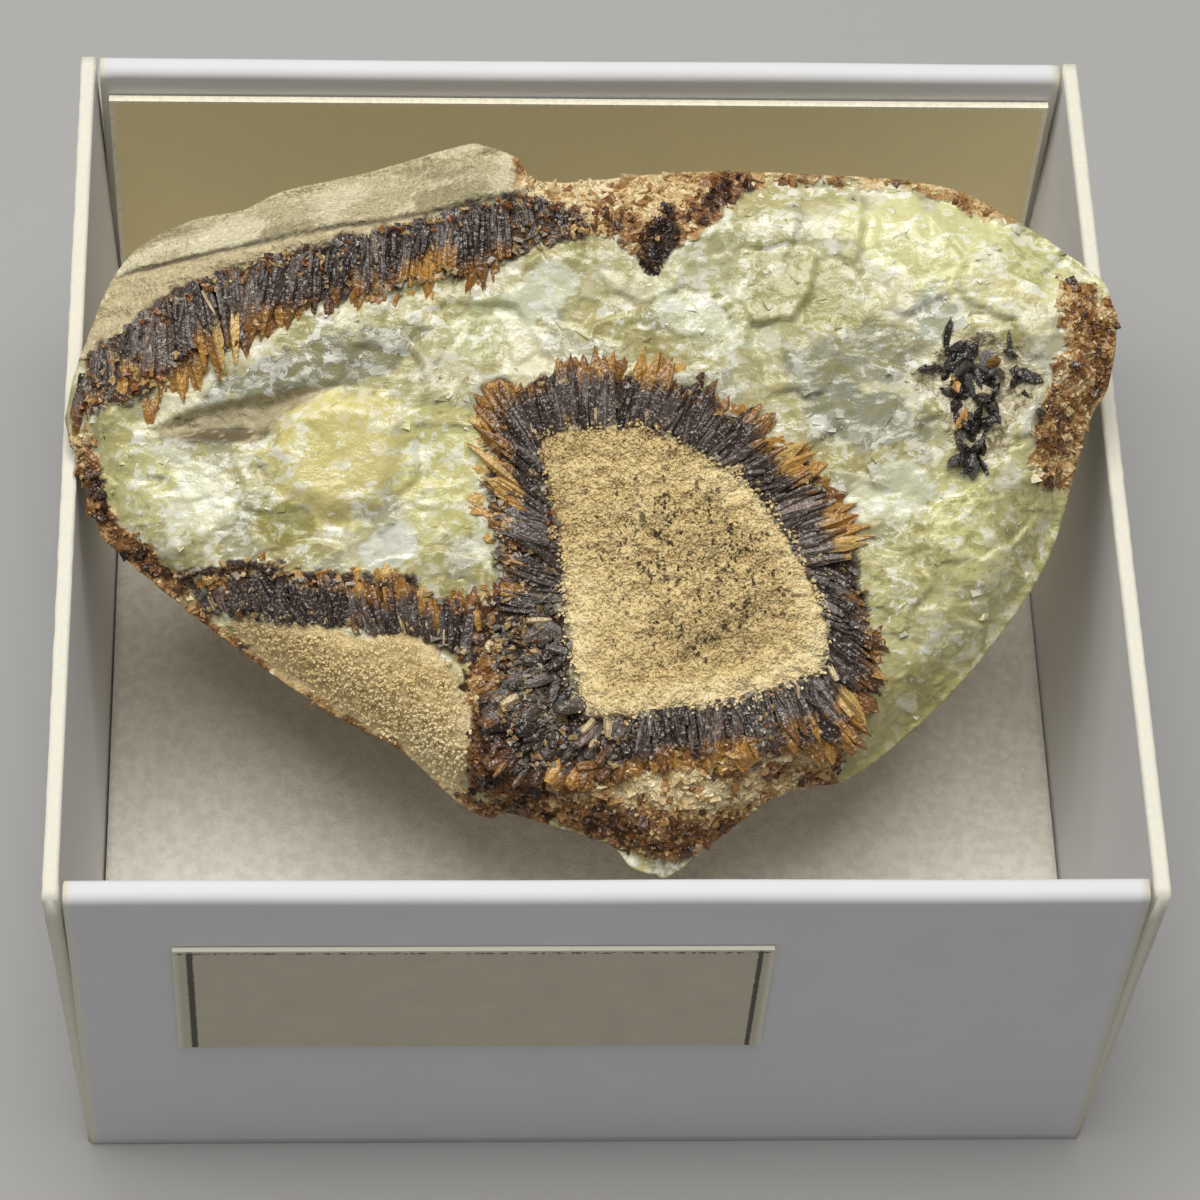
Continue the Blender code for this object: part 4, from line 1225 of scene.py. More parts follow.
@dataclass(frozen=True)
class CrystalGrower:
    """Grows a crystal on each point of a scatter, along the point's own aim."""

    shape: CrystalShape
    seed: int = 1

    def tree(self) -> bpy.types.GeometryNodeTree:
        """Build the tree.

        Returns:
            A tree whose inputs are the scatter, the crystal's sizes and its material.
        """
        tree = bpy.data.node_groups.new("grow_" + self.shape.name.lower(), "GeometryNodeTree")
        for name, kind in (
            ("Geometry", "Geometry"),
            ("Sides", "Int"),
            ("Foot width", "Float"),
            ("End width", "Float"),
            ("Unevenness", "Float"),
            ("Seed", "Int"),
            ("Material", "Material"),
        ):
            tree.interface.new_socket(name, in_out="INPUT", socket_type="NodeSocket" + kind)
        tree.interface.new_socket("Geometry", in_out="OUTPUT", socket_type="NodeSocketGeometry")
        w = Wiring(tree)
        enter = w.nodes.new("NodeGroupInput").outputs
        width, flat, length, aim, roll = (
            self.carried(w, name, kind)
            for name, kind in (
                ("width", "FLOAT"),
                ("flat", "FLOAT"),
                ("length", "FLOAT"),
                ("aim", "FLOAT_VECTOR"),
                ("roll", "FLOAT"),
            )
        )
        sides = self.shape.value[0]
        cube = {"Size": (1.0, 1.0, 1.0)}
        made = self.prism(w, enter) if sides else w.add("GeometryNodeMeshCube", cube)
        across = w.math("MULTIPLY", width, flat)
        size = w.add("ShaderNodeCombineXYZ", {0: width, 1: across, 2: length})
        turn = w.add("FunctionNodeAlignRotationToVector", {"Vector": aim}, axis="Z")
        placed = {"Points": enter["Geometry"], "Instance": made, "Rotation": turn, "Scale": size}
        grown = w.add("GeometryNodeInstanceOnPoints", placed)
        spin = w.add("ShaderNodeCombineXYZ", {2: roll})
        grown = w.add("GeometryNodeRotateInstances", {"Instances": grown, "Rotation": spin})
        real = w.add("GeometryNodeRealizeInstances", {0: grown})
        reach = {0: (-1.0, -1.0, -1.0), 1: (1.0, 1.0, 1.0), "Seed": enter["Seed"]}
        shake = w.add("FunctionNodeRandomValue", reach, data_type="FLOAT_VECTOR")
        share = w.math("MULTIPLY", width, enter["Unevenness"])
        shift = w.add("ShaderNodeVectorMath", {0: shake, "Scale": share}, operation="SCALE")
        uneven = w.add("GeometryNodeSetPosition", {"Geometry": real, "Offset": shift})
        dress = {"Geometry": uneven, "Material": enter["Material"]}
        leave = w.nodes.new("NodeGroupOutput")
        w.feed(leave.inputs[0], w.add("GeometryNodeSetMaterial", dress))
        return tree

    def prism(self, w: Wiring, enter: bpy.types.NodeOutputs) -> bpy.types.NodeSocket:
        """A crystal with a narrower foot and end.

        Args:
            w: the tree.
            enter: the tree's own inputs.

        Returns:
            The crystal's geometry, which carries how far along it each point lies.
        """
        form = {"Vertices": enter["Sides"], "Side Segments": 3, "Depth": 1.0}
        form |= {"Radius Top": 0.5, "Radius Bottom": 0.5}
        cone = w.add("GeometryNodeMeshCone", form, "Mesh", fill_type="NGON")
        where = w.add("GeometryNodeInputPosition", {})
        x, y, z = (w.add("ShaderNodeSeparateXYZ", {0: where}, axis) for axis in range(3))
        for name, kind, value in (("along", "FLOAT", z), ("own", "FLOAT_VECTOR", where)):
            given = {"Geometry": cone, "Name": name, "Value": value}
            held = {"data_type": kind, "domain": "POINT"}
            cone = w.add("GeometryNodeStoreNamedAttribute", given, **held)
        rise = w.math("MINIMUM", w.math("MULTIPLY", z, 1.5), 1.0)
        lack = w.math("SUBTRACT", 1.0, enter["Foot width"])
        wide = w.math("ADD", w.math("MULTIPLY", rise, lack), enter["Foot width"])
        lack = w.math("SUBTRACT", 1.0, enter["End width"])
        loss = w.math("MULTIPLY", w.math("GREATER_THAN", z, 0.9), lack)
        wide = w.math("MULTIPLY", wide, w.math("SUBTRACT", 1.0, loss))
        place = {0: w.math("MULTIPLY", x, wide), 1: w.math("MULTIPLY", y, wide), 2: z}
        moved = {"Geometry": cone, "Position": w.add("ShaderNodeCombineXYZ", place)}
        return w.add("GeometryNodeSetPosition", moved)

    def carried(self, w: Wiring, name: str, kind: str) -> bpy.types.NodeSocket:
        """A value that each point of the scatter carries."""
        return w.add("GeometryNodeInputNamedAttribute", {"Name": name}, "Attribute", data_type=kind)

    def grow(
        self,
        name: str,
        places: np.ndarray,
        values: dict[str, np.ndarray],
        finish: bpy.types.Material,
    ) -> bpy.types.Object:
        """Grow the crystals and make them one plain mesh.

        Args:
            name: the piece's name.
            places: where they stand, in metres in the tray's frame.
            values: what each crystal carries.
            finish: their material.

        Returns:
            The crystals as one object.
        """
        seed = new_mesh(name + "_scatter", places, [], smooth=False)
        for key, value in values.items():
            carry(seed, key, value)
        tree = self.tree()
        modifier = seed.modifiers.new("grow", "NODES")
        modifier.node_group = tree
        sides, foot, end, uneven = self.shape.value
        wanted = {
            "Sides": max(sides, 3),
            "Foot width": foot,
            "End width": end,
            "Unevenness": uneven,
            "Seed": self.seed,
            "Material": finish,
        }
        for item in tree.interface.items_tree:
            if item.in_out == "INPUT" and item.name in wanted:
                modifier[item.identifier] = wanted[item.name]
        bpy.context.view_layer.update()
        evaluated = seed.evaluated_get(bpy.context.evaluated_depsgraph_get())
        mesh = bpy.data.meshes.new_from_object(evaluated)
        mesh.name = name
        obj = bpy.data.objects.new(name, mesh)
        bpy.context.scene.collection.objects.link(obj)
        bpy.data.objects.remove(seed, do_unlink=True)
        for left in ("aim", "width", "length", "flat", "roll"):
            if left in mesh.attributes:
                mesh.attributes.remove(mesh.attributes[left])
        face_outward(obj)
        return obj


@dataclass(frozen=True)
class Scatter:
    """A part of the face on which small crystals of one kind are tried and grown."""

    name: str
    shape: CrystalShape
    seed: int
    shake: int
    low: tuple[float, float]
    high: tuple[float, float]
    tried: int
    kept: int

    def start(self) -> tuple[np.random.Generator, np.ndarray]:
        """The scatter's random numbers, and the places that are tried."""
        rng = np.random.default_rng(self.seed)
        return rng, rng.uniform(self.low, self.high, (self.tried, 2))

    def grown(
        self, places: np.ndarray, values: dict[str, np.ndarray], finish: bpy.types.Material
    ) -> bpy.types.Object:
        """The kept crystals as one piece.

        Args:
            places: where they stand, in metres in the tray's frame.
            values: what each crystal carries.
            finish: their material.

        Returns:
            The piece.
        """
        return CrystalGrower(self.shape, self.shake).grow(self.name, places, values, finish)


WHOLE_LOW, WHOLE_HIGH = (-20.5, -14.5), (20.5, 13.8)
GLINTS = Scatter(
    "nodule_glints", CrystalShape.GRAIN, 23, 19, (-20.5, -12.5), (11.5, 12.0), 40000, 6400
)
PLATES = Scatter("nodule_calcite", CrystalShape.PLATE, 3, 5, WHOLE_LOW, WHOLE_HIGH, 16000, 500)
CRUSTS = Scatter(
    "nodule_crust_grains", CrystalShape.GRAIN, 7, 9, WHOLE_LOW, WHOLE_HIGH, 60000, 9000
)
GRAINS = Scatter(
    "nodule_sand_grains", CrystalShape.GRAIN, 17, 13, (-19, -12), (10, 13), 60000, 20000
)
FREE = Scatter(
    "nodule_free_crystals", CrystalShape.SPEAR, 11, 15, (12.0, 1.0), (17.2, 6.8), 1500, 72
)
FRINGE_SEED = {CrystalShape.NEEDLE: 40, CrystalShape.SPEAR: 50}
BUNCHES = 90


@dataclass(frozen=True)
class Layer:
    """One layer of a fringe, as shares of the way from its foot line to its tips."""

    low: float
    high: float
    dense: float
    length: tuple[float, float]
    width: tuple[float, float]
    lift: tuple[float, float]
    swing: float
    cap: float = 1.0


@dataclass
class CrystalGrowth:
    """Everything that stands on the nodule's face."""

    nodule: Nodule
    bunch: float = 1.0
    needles: tuple[Layer, ...] = (
        Layer(-0.04, 0.1, 5, (0.2, 0.4), (0.14, 0.34), (4, 18), 9, 0.5),
        Layer(-0.04, 0.14, 6, (0.5, 0.7), (0.22, 0.55), (1, 8), 3, 0.8),
        Layer(0.1, 0.3, 3, (0.35, 0.6), (0.2, 0.45), (2, 10), 4, 0.8),
    )
    spears: tuple[Layer, ...] = (
        Layer(-0.02, 0.2, 2.8, (0.85, 1.1), (0.5, 1.05), (1, 7), 3, 1.06),
        Layer(0.42, 0.6, 4.2, (0.4, 0.62), (0.6, 1.25), (2, 12), 9, 1.14),
    )
    chunks: tuple[Layer, ...] = (
        Layer(0.0, 0.85, 13, (0.12, 0.28), (0.3, 0.7), (4, 40), 26, 1.0),
        Layer(0.1, 0.8, 6, (0.2, 0.4), (0.45, 0.9), (2, 24), 18, 1.0),
    )

    def carried(
        self,
        rng: np.random.Generator,
        sizes: tuple[np.ndarray, np.ndarray, np.ndarray],
        flat: tuple[float, float],
        looks: dict[str, np.ndarray],
    ) -> dict[str, np.ndarray]:
        """What each crystal of a scatter carries.

        Args:
            rng: the scatter's random numbers.
            sizes: the crystals' aims, lengths and widths.
            flat: least and greatest share of the width that is the thickness.
            looks: the colours and marks that their finish reads.

        Returns:
            The values by name.
        """
        aim, length, width = sizes
        return {
            "aim": aim @ self.nodule.face.frame_turn().T,
            "length": length * MM,
            "width": width * MM,
            "flat": rng.uniform(*flat, len(width)),
            "roll": rng.uniform(0, FULL_TURN, len(width)),
            **looks,
        }

    def coloured(self, shade: np.ndarray, end: np.ndarray | None = None) -> dict[str, np.ndarray]:
        """The colour of each crystal's foot and of its end, which may be the same."""
        one = np.ones(len(shade))
        return {"shade": np.c_[shade, one], "end": np.c_[shade if end is None else end, one]}

    def set_in(self, uv: np.ndarray, sink: float | np.ndarray) -> np.ndarray:
        """Places on the stone's face, a little below its surface, in metres."""
        height = self.nodule.surface(uv) - sink
        return self.nodule.face.placed(np.c_[uv, height]) * MM

    def row(
        self, fringe: Fringe, layer: Layer, bunches: np.ndarray, rng: np.random.Generator
    ) -> dict[str, np.ndarray]:
        """Where one layer's crystals stand, and how.

        Args:
            fringe: the row of crystals.
            layer: the layer.
            bunches: the lean, reach, warmth and paleness that crystals side by side share.
            rng: the scatter's random numbers.

        Returns:
            Places, aims, lengths, widths, reaches and warmths of its crystals.
        """
        base, tips = smooth_line(fringe.base, 400), smooth_line(fringe.tips, 400)
        run = 0.5 * (base + tips)
        steps = np.r_[0, np.cumsum(np.linalg.norm(np.diff(run, axis=0), axis=1))]
        at = rng.uniform(0, steps[-1], int(steps[-1] * layer.dense))
        count = len(at)
        i = np.clip(np.searchsorted(steps, at), 0, 399)
        a, b = base[i], tips[i]
        full = np.linalg.norm(b - a, axis=1)
        way = (b - a) / full[:, None]
        which = (at / self.bunch + 0.4 * grain(a, 2.0, 8.2)).astype(int) + 1
        lean, reach, warmth, pale = bunches[which].T
        start = rng.uniform(layer.low, layer.high, count)
        end = start + rng.uniform(*layer.length, count)
        limit = layer.cap * (reach + 0.1 * grain(b, 0.5, 7.1) + rng.uniform(-0.08, 0.05, count))
        end = np.minimum(end, np.maximum(limit, start + 0.12))
        swing = np.radians(rng.normal(0, layer.swing, count) + lean)
        aim = np.stack(
            [
                way[:, 0] * np.cos(swing) - way[:, 1] * np.sin(swing),
                way[:, 0] * np.sin(swing) + way[:, 1] * np.cos(swing),
            ],
            axis=1,
        )
        lift = np.radians(rng.uniform(*layer.lift, count))
        return {
            "uv": a + way * (start * full)[:, None],
            "aim": np.c_[aim * np.cos(lift)[:, None], np.sin(lift)],
            "length": (end - start) * full,
            "width": rng.uniform(*layer.width, count),
            "reach": end,
            "start": start,
            "warmth": warmth,
            "pale": pale,
        }

    def fringe(self, fringe: Fringe, shape: CrystalShape, number: int) -> bpy.types.Object:
        """Grow one fringe's needles or spears.

        Args:
            fringe: the row of crystals.
            shape: which of its crystals are grown.
            number: the fringe's own number, from which its random numbers start.

        Returns:
            The crystals as one piece.
        """
        shared = np.random.default_rng(number)
        bunches = np.stack(
            [
                shared.normal(0, 7, BUNCHES),
                shared.uniform(0.84, 1.06, BUNCHES),
                shared.normal(0, 0.2, BUNCHES),
                shared.uniform(0, 1, BUNCHES),
            ],
            axis=1,
        )
        seed = FRINGE_SEED[shape] + number
        rng = np.random.default_rng(seed)
        layers = self.spears if shape is CrystalShape.SPEAR else self.needles
        if fringe.habit is Habit.CHUNKS:
            layers = self.chunks
        rows = [self.row(fringe, layer, bunches, rng) for layer in layers]
        got = {key: np.concatenate([r[key] for r in rows]) for key in rows[0]}
        uv = got["uv"]
        count = len(uv)
        tip = uv + got["aim"][:, :2] * got["length"][:, None]
        warm = shifted(tip, self.nodule.fringe_shifts) + got["warmth"]
        luck = 0.6 * rng.uniform(0, 1, count) + 0.45 * got["pale"] + 0.15 * grain(uv, 1.2, 4.7)
        short = got["reach"] - got["start"] < 0.3
        luck = np.minimum(luck, np.where(short, 1.0, 0.88))
        luck[(rng.uniform(0, 1, count) > 0.9) & short] = 1.0
        if shape is CrystalShape.SPEAR:
            luck *= 0.8
        # Crystals whose place lands near 0.68 take the palette's grey of painted sheen; the rest
        # take the crystals' own dark, brown and tan colours.
        dark = np.interp(luck, (0, 0.5, 0.7, 0.86, 0.97, 1), (0, 0.34, 0.5, 0.7, 0.84, 1))
        dark += (0.78 - dark) * np.clip(warm, 0, 0.22)
        clear = 0.32 + (got["reach"] - 0.75) * 0.9 + 0.5 * warm + rng.normal(0, 0.16, count)
        shade = DARK_CRYSTALS.at(np.clip(dark, 0, 1))
        end = CLEAR_ENDS.at(np.clip(clear, 0, 0.86))
        turn = 0.58 - 0.36 * warm + 0.1 * (got["pale"] - 0.5) + rng.normal(0, 0.05, count)
        clear_from = (turn - got["start"]) / (got["reach"] - got["start"])
        sizes = (got["aim"], got["length"], got["width"])
        looks = {**self.coloured(shade, end), "clear_from": clear_from}
        values = self.carried(rng, sizes, (0.6, 1.0), looks)
        finish = CrystalFinish("fringe_crystals", gloss=0.19, glint=0.75, ribs=0.3).material()
        name = "nodule_" + fringe.name + "_" + shape.name.lower() + "s"
        places = self.set_in(uv, 0.5 * got["width"] - 0.16)
        return CrystalGrower(shape, seed).grow(name, places, values, finish)

    def glints(self) -> bpy.types.Object:
        """Silver, tan and amber bits among the fringes' crystals; the silver ones are painted
        glints.
        """
        rng, uv = GLINTS.start()
        zone = self.nodule.zones(uv)
        rich = Spot(-2.9, -1.4, 1.3, 4.2).weight(uv) + Spot(-3.2, -8.0, 2.4, 3.8).weight(uv)
        top = Spot(-10.0, 7.0, 11.0, 4.5, 20).weight(uv)
        chance = 0.16 + 0.7 * np.clip(rich, 0, 1) + 0.22 * top + 0.2 * grain(uv, 1.1, 2.9)
        keep = (zone["fringe"] > 0.0) & (rng.uniform(0, 1, len(uv)) < chance)
        uv = uv[keep][: GLINTS.kept]
        count = len(uv)
        kind = (rng.uniform(0, 1, count) + 0.3 * top[keep][: GLINTS.kept])[:, None]
        # Painted glints: the silver bits are made up to seven times brighter than a dark grey to
        # stand in for sparkles; the tan and amber bits are flecks.
        silver = np.array(tone(72, 67, 60)) * rng.uniform(1.0, 7.0, (count, 1))
        tan = np.array(tone(196, 164, 110)) * rng.uniform(0.5, 1.1, (count, 1))
        amber = np.array(tone(150, 92, 44)) * rng.uniform(0.4, 1.2, (count, 1))
        shade = np.where(kind < 0.5, silver, np.where(kind < 0.88, tan, amber))
        aim = even(rng.normal(0, 1, (count, 3)))
        width = rng.uniform(0.05, 0.19, count)
        sizes = (aim, width * rng.uniform(1.0, 2.4, count), width)
        values = self.carried(rng, sizes, (0.4, 1.0), self.coloured(shade))
        finish = CrystalFinish("fringe_glints", gloss=0.16, glint=0.5).material()
        places = self.set_in(uv, -rng.uniform(0.05, 0.32, count))
        return GLINTS.grown(places, values, finish)

    def plates(self) -> bpy.types.Object:
        """Broken pieces of calcite that lie almost flush in the face.

        Returns:
            The pieces as one piece of the model.
        """
        rng, uv = PLATES.start()
        zone = self.nodule.zones(uv)
        ragged = 0.4 * grain(uv, 0.9, 1.5) + 0.3 * grain(uv, 1.9, 2.5)
        keep = (zone["calcite"] + 0.5 * ragged > 0.12) & (zone["edge"] > 0.25)
        keep &= zone["lump"] + 0.8 * (rng.uniform(0, 1, len(uv)) - 0.8) < 0
        uv = uv[keep][: PLATES.kept]
        zone = {name: depth[keep][: PLATES.kept] for name, depth in zone.items()}
        count = len(uv)
        kind = rng.uniform(0, 1, count)
        width = np.where(
            kind < 0.02,
            rng.uniform(0.4, 0.6, count),
            np.where(kind < 0.3, rng.uniform(0.25, 0.45, count), rng.uniform(0.08, 0.24, count)),
        )
        room = np.minimum(zone["calcite"], zone["edge"])
        width = np.minimum(width, 0.25 + 1.1 * np.maximum(room, 0))
        rows = self.nodule.coat(uv, zone)
        bruise = 0.6 * (rng.uniform(0, 1, count) > np.where(width < 0.33, 0.55, 0.88))
        rows[:, :9] = leaned(rows[:, :9], tone(240, 239, 224) * 3, bruise)
        aim = self.nodule.slope(uv, 0.4) + rng.normal(0, 0.09, (count, 3)) * [1, 1, 0]
        thick = width * rng.uniform(0.3, 0.5, count)
        proud = np.minimum(rng.uniform(-0.04, 0.03, count), 0.1 * thick)
        sizes = (even(aim), thick, width)
        values = self.carried(rng, sizes, (0.45, 1.0), self.nodule.carried(rows))
        places = self.set_in(uv, 0.5 * thick - proud)
        finish = StoneFinish("broken_calcite").material()
        return PLATES.grown(places, values, finish)

    def crusts(self) -> bpy.types.Object:
        """Stubby broken crystals all over the granular crusts."""
        rng, uv = CRUSTS.start()
        zone = self.nodule.zones(uv)
        inside = (zone["crust"] + 0.35 * grain(uv, 1.8, 0.4) > 0.0) & (zone["edge"] > 0.1)
        inside &= (zone["core"] < -0.1) & (zone["matrix"] < -0.05) & (zone["fringe"] < 0.15)
        uv = uv[inside][: CRUSTS.kept]
        count = len(uv)
        aim = rng.normal(0, 1, (count, 3))
        aim[:, 2] = np.abs(aim[:, 2]) * 0.8 + 0.1
        scale = self.nodule.crust_scale(uv) + rng.normal(0, 0.15, count)
        big = rng.uniform(0, 1, count) > 0.88
        scale -= 0.2 * big
        width = rng.uniform(0.08, 0.19, count) * (1 + 0.9 * big)
        sizes = (even(aim), width * rng.uniform(1.0, 2.0, count), width)
        foot, end = (CRUST.at(np.clip(scale + lift, 0, 1)) for lift in (0.0, 0.1))
        values = self.carried(rng, sizes, (0.6, 1.0), self.coloured(foot, end))
        finish = CrystalFinish("crust_grains", gloss=0.28, glint=0.5).material()
        places = self.set_in(uv, 0.05 + 0.3 * np.maximum(width - 0.22, 0))
        return CRUSTS.grown(places, values, finish)

    def sand(self) -> bpy.types.Object:
        """Grains of sand all over the core and the rind's sandy parts."""
        rng, uv = GRAINS.start()
        zone = self.nodule.zones(uv)
        loose = np.maximum(zone["core"], zone["matrix"] - 0.3)
        loose += 0.3 * grain(uv, 1.3, 5.0) + 0.2 * grain(uv, 4.2, 2.0)
        loose += rng.normal(0, 0.13, len(uv))
        uv = uv[loose > -0.02][: GRAINS.kept]
        inner = depth_inside(uv, self.nodule.face.core)
        count = len(uv)
        scale = self.nodule.sand_scale(uv, np.maximum(inner, 0.8))
        speck = grain(uv * [1.5, 0.8], 2.8, 6.4) + 0.3 * grain(uv, 0.5, 1.1)
        speck += 0.36 * Spot(3.9, -1.9, 4.4, 4.2, -30).weight(uv)
        dark = 0.5 * step(speck, 0.5, 0.7) * (inner > 0.3)
        scale += 0.14 * (inner < -0.3) + rng.normal(0, 0.08, count)
        scale -= dark * (rng.uniform(0, 1, count) > 0.3)
        aim = even(rng.normal(0, 1, (count, 3)) + [0.0, -0.4, 0.8])
        width = rng.uniform(0.04, 0.09, count)
        sizes = (aim, width * rng.uniform(1.0, 1.9, count), width)
        looks = self.coloured(SAND.at(np.clip(scale, 0, 1)))
        values = self.carried(rng, sizes, (0.6, 1.0), looks)
        finish = CrystalFinish("sand_grains", gloss=0.8, glint=0.0).material()
        places = self.set_in(uv, -0.3 * (1 - step(inner, -0.1, 0.25)))
        return GRAINS.grown(places, values, finish)

    def free_crystals(self) -> bpy.types.Object:
        """The dark shining crystals in the small hollow."""
        rng, uv = FREE.start()
        zone = self.nodule.zones(uv)
        uv = uv[zone["hollow"] + 1.3 * grain(uv, 0.8, 3.0) > 0.25][: FREE.kept]
        count = len(uv)
        aim = rng.normal(0, 1, (count, 3))
        aim[:, 2] = np.abs(aim[:, 2]) * 0.6 + 0.15
        warm = rng.uniform(0, 1, count) > 0.95
        shade = DARK_CRYSTALS.at(rng.uniform(0, 0.66, count)) * [0.66, 0.78, 0.8]
        shade[warm] = np.array(tone(196, 150, 84))
        sizes = (even(aim), rng.uniform(0.5, 1.2, count), rng.uniform(0.3, 0.75, count))
        values = self.carried(rng, sizes, (0.25, 0.7), self.coloured(shade))
        finish = CrystalFinish("free_dark_crystals", gloss=0.12, glint=0.35).material()
        places = self.set_in(uv, 0.05)
        return FREE.grown(places, values, finish)

    def build(self) -> list[bpy.types.Object]:
        """Grow the fringes, the calcite, the crusts, the sand and the free crystals.

        Returns:
            The pieces.
        """
        made = []
        for number, fringe in enumerate(self.nodule.fringes):
            made.append(self.fringe(fringe, CrystalShape.NEEDLE, number))
            if fringe.habit is Habit.COMB:
                made.append(self.fringe(fringe, CrystalShape.SPEAR, number))
        made += [self.glints(), self.plates(), self.crusts(), self.sand(), self.free_crystals()]
        return made


@dataclass
class CardTray:
    """The open box of white card: folded front and back walls, single side walls."""

    width: float = 40.1
    depth: float = 40.0
    height: float = 20.0
    card: float = 0.55
    folded: float = 1.0
    lean: float = 0.65
    rim: float = 0.42
    squares: tuple[int, int] = (90, 46)

    def slab(
        self, corner: np.ndarray, along: np.ndarray, up: np.ndarray, through: np.ndarray, rim: float
    ) -> tuple[np.ndarray, list, np.ndarray]:
        """A closed wall with even squares, whose upper edges may be rounded.

        Args:
            corner: its lower outer corner, in millimetres.
            along: its length as a vector.
            up: its height as a vector.
            through: its thickness as a vector.
            rim: radius of its upper edges, or 0 for a cut edge.

        Returns:
            Points, faces, and how raw each point's edge is.
        """
        n_along, n_up = self.squares
        t = np.linspace(0, 1, n_up + 1)
        thick, tall = np.linalg.norm(through), np.linalg.norm(up)
        profile = [(a, 0.0) for a in t * (1 - rim / tall)]
        if rim:
            for k in range(1, 8):
                a = math.pi / 2 * k / 8
                rise, back = 1 - math.sin(a), 1 - math.cos(a)
                profile.append((1 - rim / tall * rise, rim / thick * back))
        else:
            profile += [(1.0, 0.25), (1.0, 0.5)]
        other = [(a, 1 - b) for a, b in profile[::-1]]
        profile = np.array(profile + (other if rim else other[1:]))
        ring = len(profile)
        s = np.linspace(0, 1, n_along + 1)
        points = np.array(
            [corner + along * x + up * a + through * b for x in s for a, b in profile]
        )
        faces = []
        for i in range(n_along):
            for j in range(ring):
                k = (j + 1) % ring
                faces.append([i * ring + j, i * ring + k, (i + 1) * ring + k, (i + 1) * ring + j])
        faces.append(list(range(ring))[::-1])
        faces.append([n_along * ring + j for j in range(ring)])
        raw = np.zeros(len(points))
        if not rim:
            raw = np.tile(np.where(profile[:, 0] > 0.985, 1.0, 0.0), n_along + 1)
        raw[:ring] = 1.0
        raw[-ring:] = 1.0
        return points, faces, raw

    def filling(self, node: str, rim: float) -> tuple[np.ndarray, list, np.ndarray]:
        """A slab that fills a solid's box, as slab gives it."""
        low, high = (np.array(c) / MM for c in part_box(node))
        across, through, up = np.diag(high - low)
        return self.slab(low, across, up, through, rim)

    def waved(self, points: np.ndarray, raw: np.ndarray) -> np.ndarray:
        """Hand-made card is never quite flat: shift its points a little."""
        wave = solid_noise(points * 0.12)
        places = ((9.3, -1.5, -7.9), (0.4, 0.6, 0.2), (6.3, 0.2, -2.7))
        fray = np.stack([solid_noise(points * 2.3 + place) for place in places], axis=1)
        out = points.copy()
        high = np.clip(points[:, 2] / self.height, 0, 1)
        out[:, 2] += 0.1 * wave * high**3
        out += 0.035 * fray * raw[:, None] * high[:, None]
        return out

    def build(self) -> bpy.types.Object:
        """Make the tray.

        Returns:
            The piece that stands for the card tray.
        """
        half = self.width / 2
        parts = []
        for side in (-1, 1):
            corner = np.array([side * half, -self.depth / 2 + 0.15, 0.0])
            up = np.array([side * self.lean, 0.0, self.height - 0.05])
            along = np.array([0.0, self.depth - 0.3, 0.0])
            through = np.array([-side * self.card, 0.0, 0.0])
            parts.append(self.slab(corner, along, up, through, 0.0))
            end = half - 0.12
            corner = np.array([-end, side * self.depth / 2, 0.0])
            up = np.array([0.0, 0.0, self.height])
            along = np.array([2 * end, 0.0, 0.0])
            through = np.array([0.0, -side * self.folded, 0.0])
            parts.append(self.slab(corner, along, up, through, self.rim))
        corner = np.array([-half + 0.3, -self.depth / 2 + 0.3, 0.02])
        along = np.array([self.width - 0.6, 0.0, 0.0])
        up = np.array([0.0, self.depth - 0.6, 0.0])
        through = np.array([0.0, 0.0, self.card - 0.02])
        parts.append(self.slab(corner, along, up, through, 0.0))
        points, faces, raw, start = [], [], [], 0
        for p, f, r in parts:
            points.append(self.waved(p, r))
            faces += [[start + i for i in face] for face in f]
            raw.append(r)
            start += len(p)
        obj = new_mesh("card_tray_walls", np.vstack(points) * MM, faces)
        carry(obj, "raw", np.concatenate(raw))
        face_outward(obj)
        finish = CardFinish("white_card", tone(230, 230, 233), tone(228, 225, 212))
        obj.data.materials.append(finish.material())
        return obj


def face_outward(obj: bpy.types.Object) -> None:
    """Turn every closed shell of a piece the right way out."""
    bm = bmesh.new()
    bm.from_mesh(obj.data)
    bmesh.ops.recalc_face_normals(bm, faces=bm.faces[:])
    bm.to_mesh(obj.data)
    bm.free()


@dataclass(frozen=True)
class FoamPad:
    """The sparkling white pad under the stone."""

    rim: float = 0.35

    def build(self) -> bpy.types.Object:
        """Make the pad.

        Returns:
            The piece that stands for the foam pad.
        """
        points, faces, _ = CardTray().filling("foam_pad", self.rim)
        obj = new_mesh("foam_pad_sheet", points * MM, faces)
        face_outward(obj)
        obj.data.materials.append(FoamFinish().material())
        return obj


class Labels:
    """The bare card strip at the back and the bare paper strip in front."""

    def strip(self, node: str, name: str) -> bpy.types.Object:
        """A thin upright strip in the place of a solid.

        Args:
            node: the solid it stands for.
            name: the piece's name.

        Returns:
            The strip.
        """
        points, faces, raw = CardTray().filling(node, 0.0)
        obj = new_mesh(name, points * MM, faces, smooth=False)
        carry(obj, "raw", raw)
        face_outward(obj)
        return obj

    def build(self) -> list[bpy.types.Object]:
        """Make both strips.

        Returns:
            The name strip and the number strip.
        """
        name = self.strip("name_label", "name_label_card")
        finish = CardFinish("cream_card", tone(254, 240, 188), tone(252, 246, 222))
        name.data.materials.append(finish.material())
        number = self.strip("number_label", "number_label_paper")
        low, high = (np.array(c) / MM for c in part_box("number_label"))
        finish = NumberPaperFinish(float(low[0]), float(high[0]), float(high[2]))
        number.data.materials.append(finish.material())
        return [name, number]


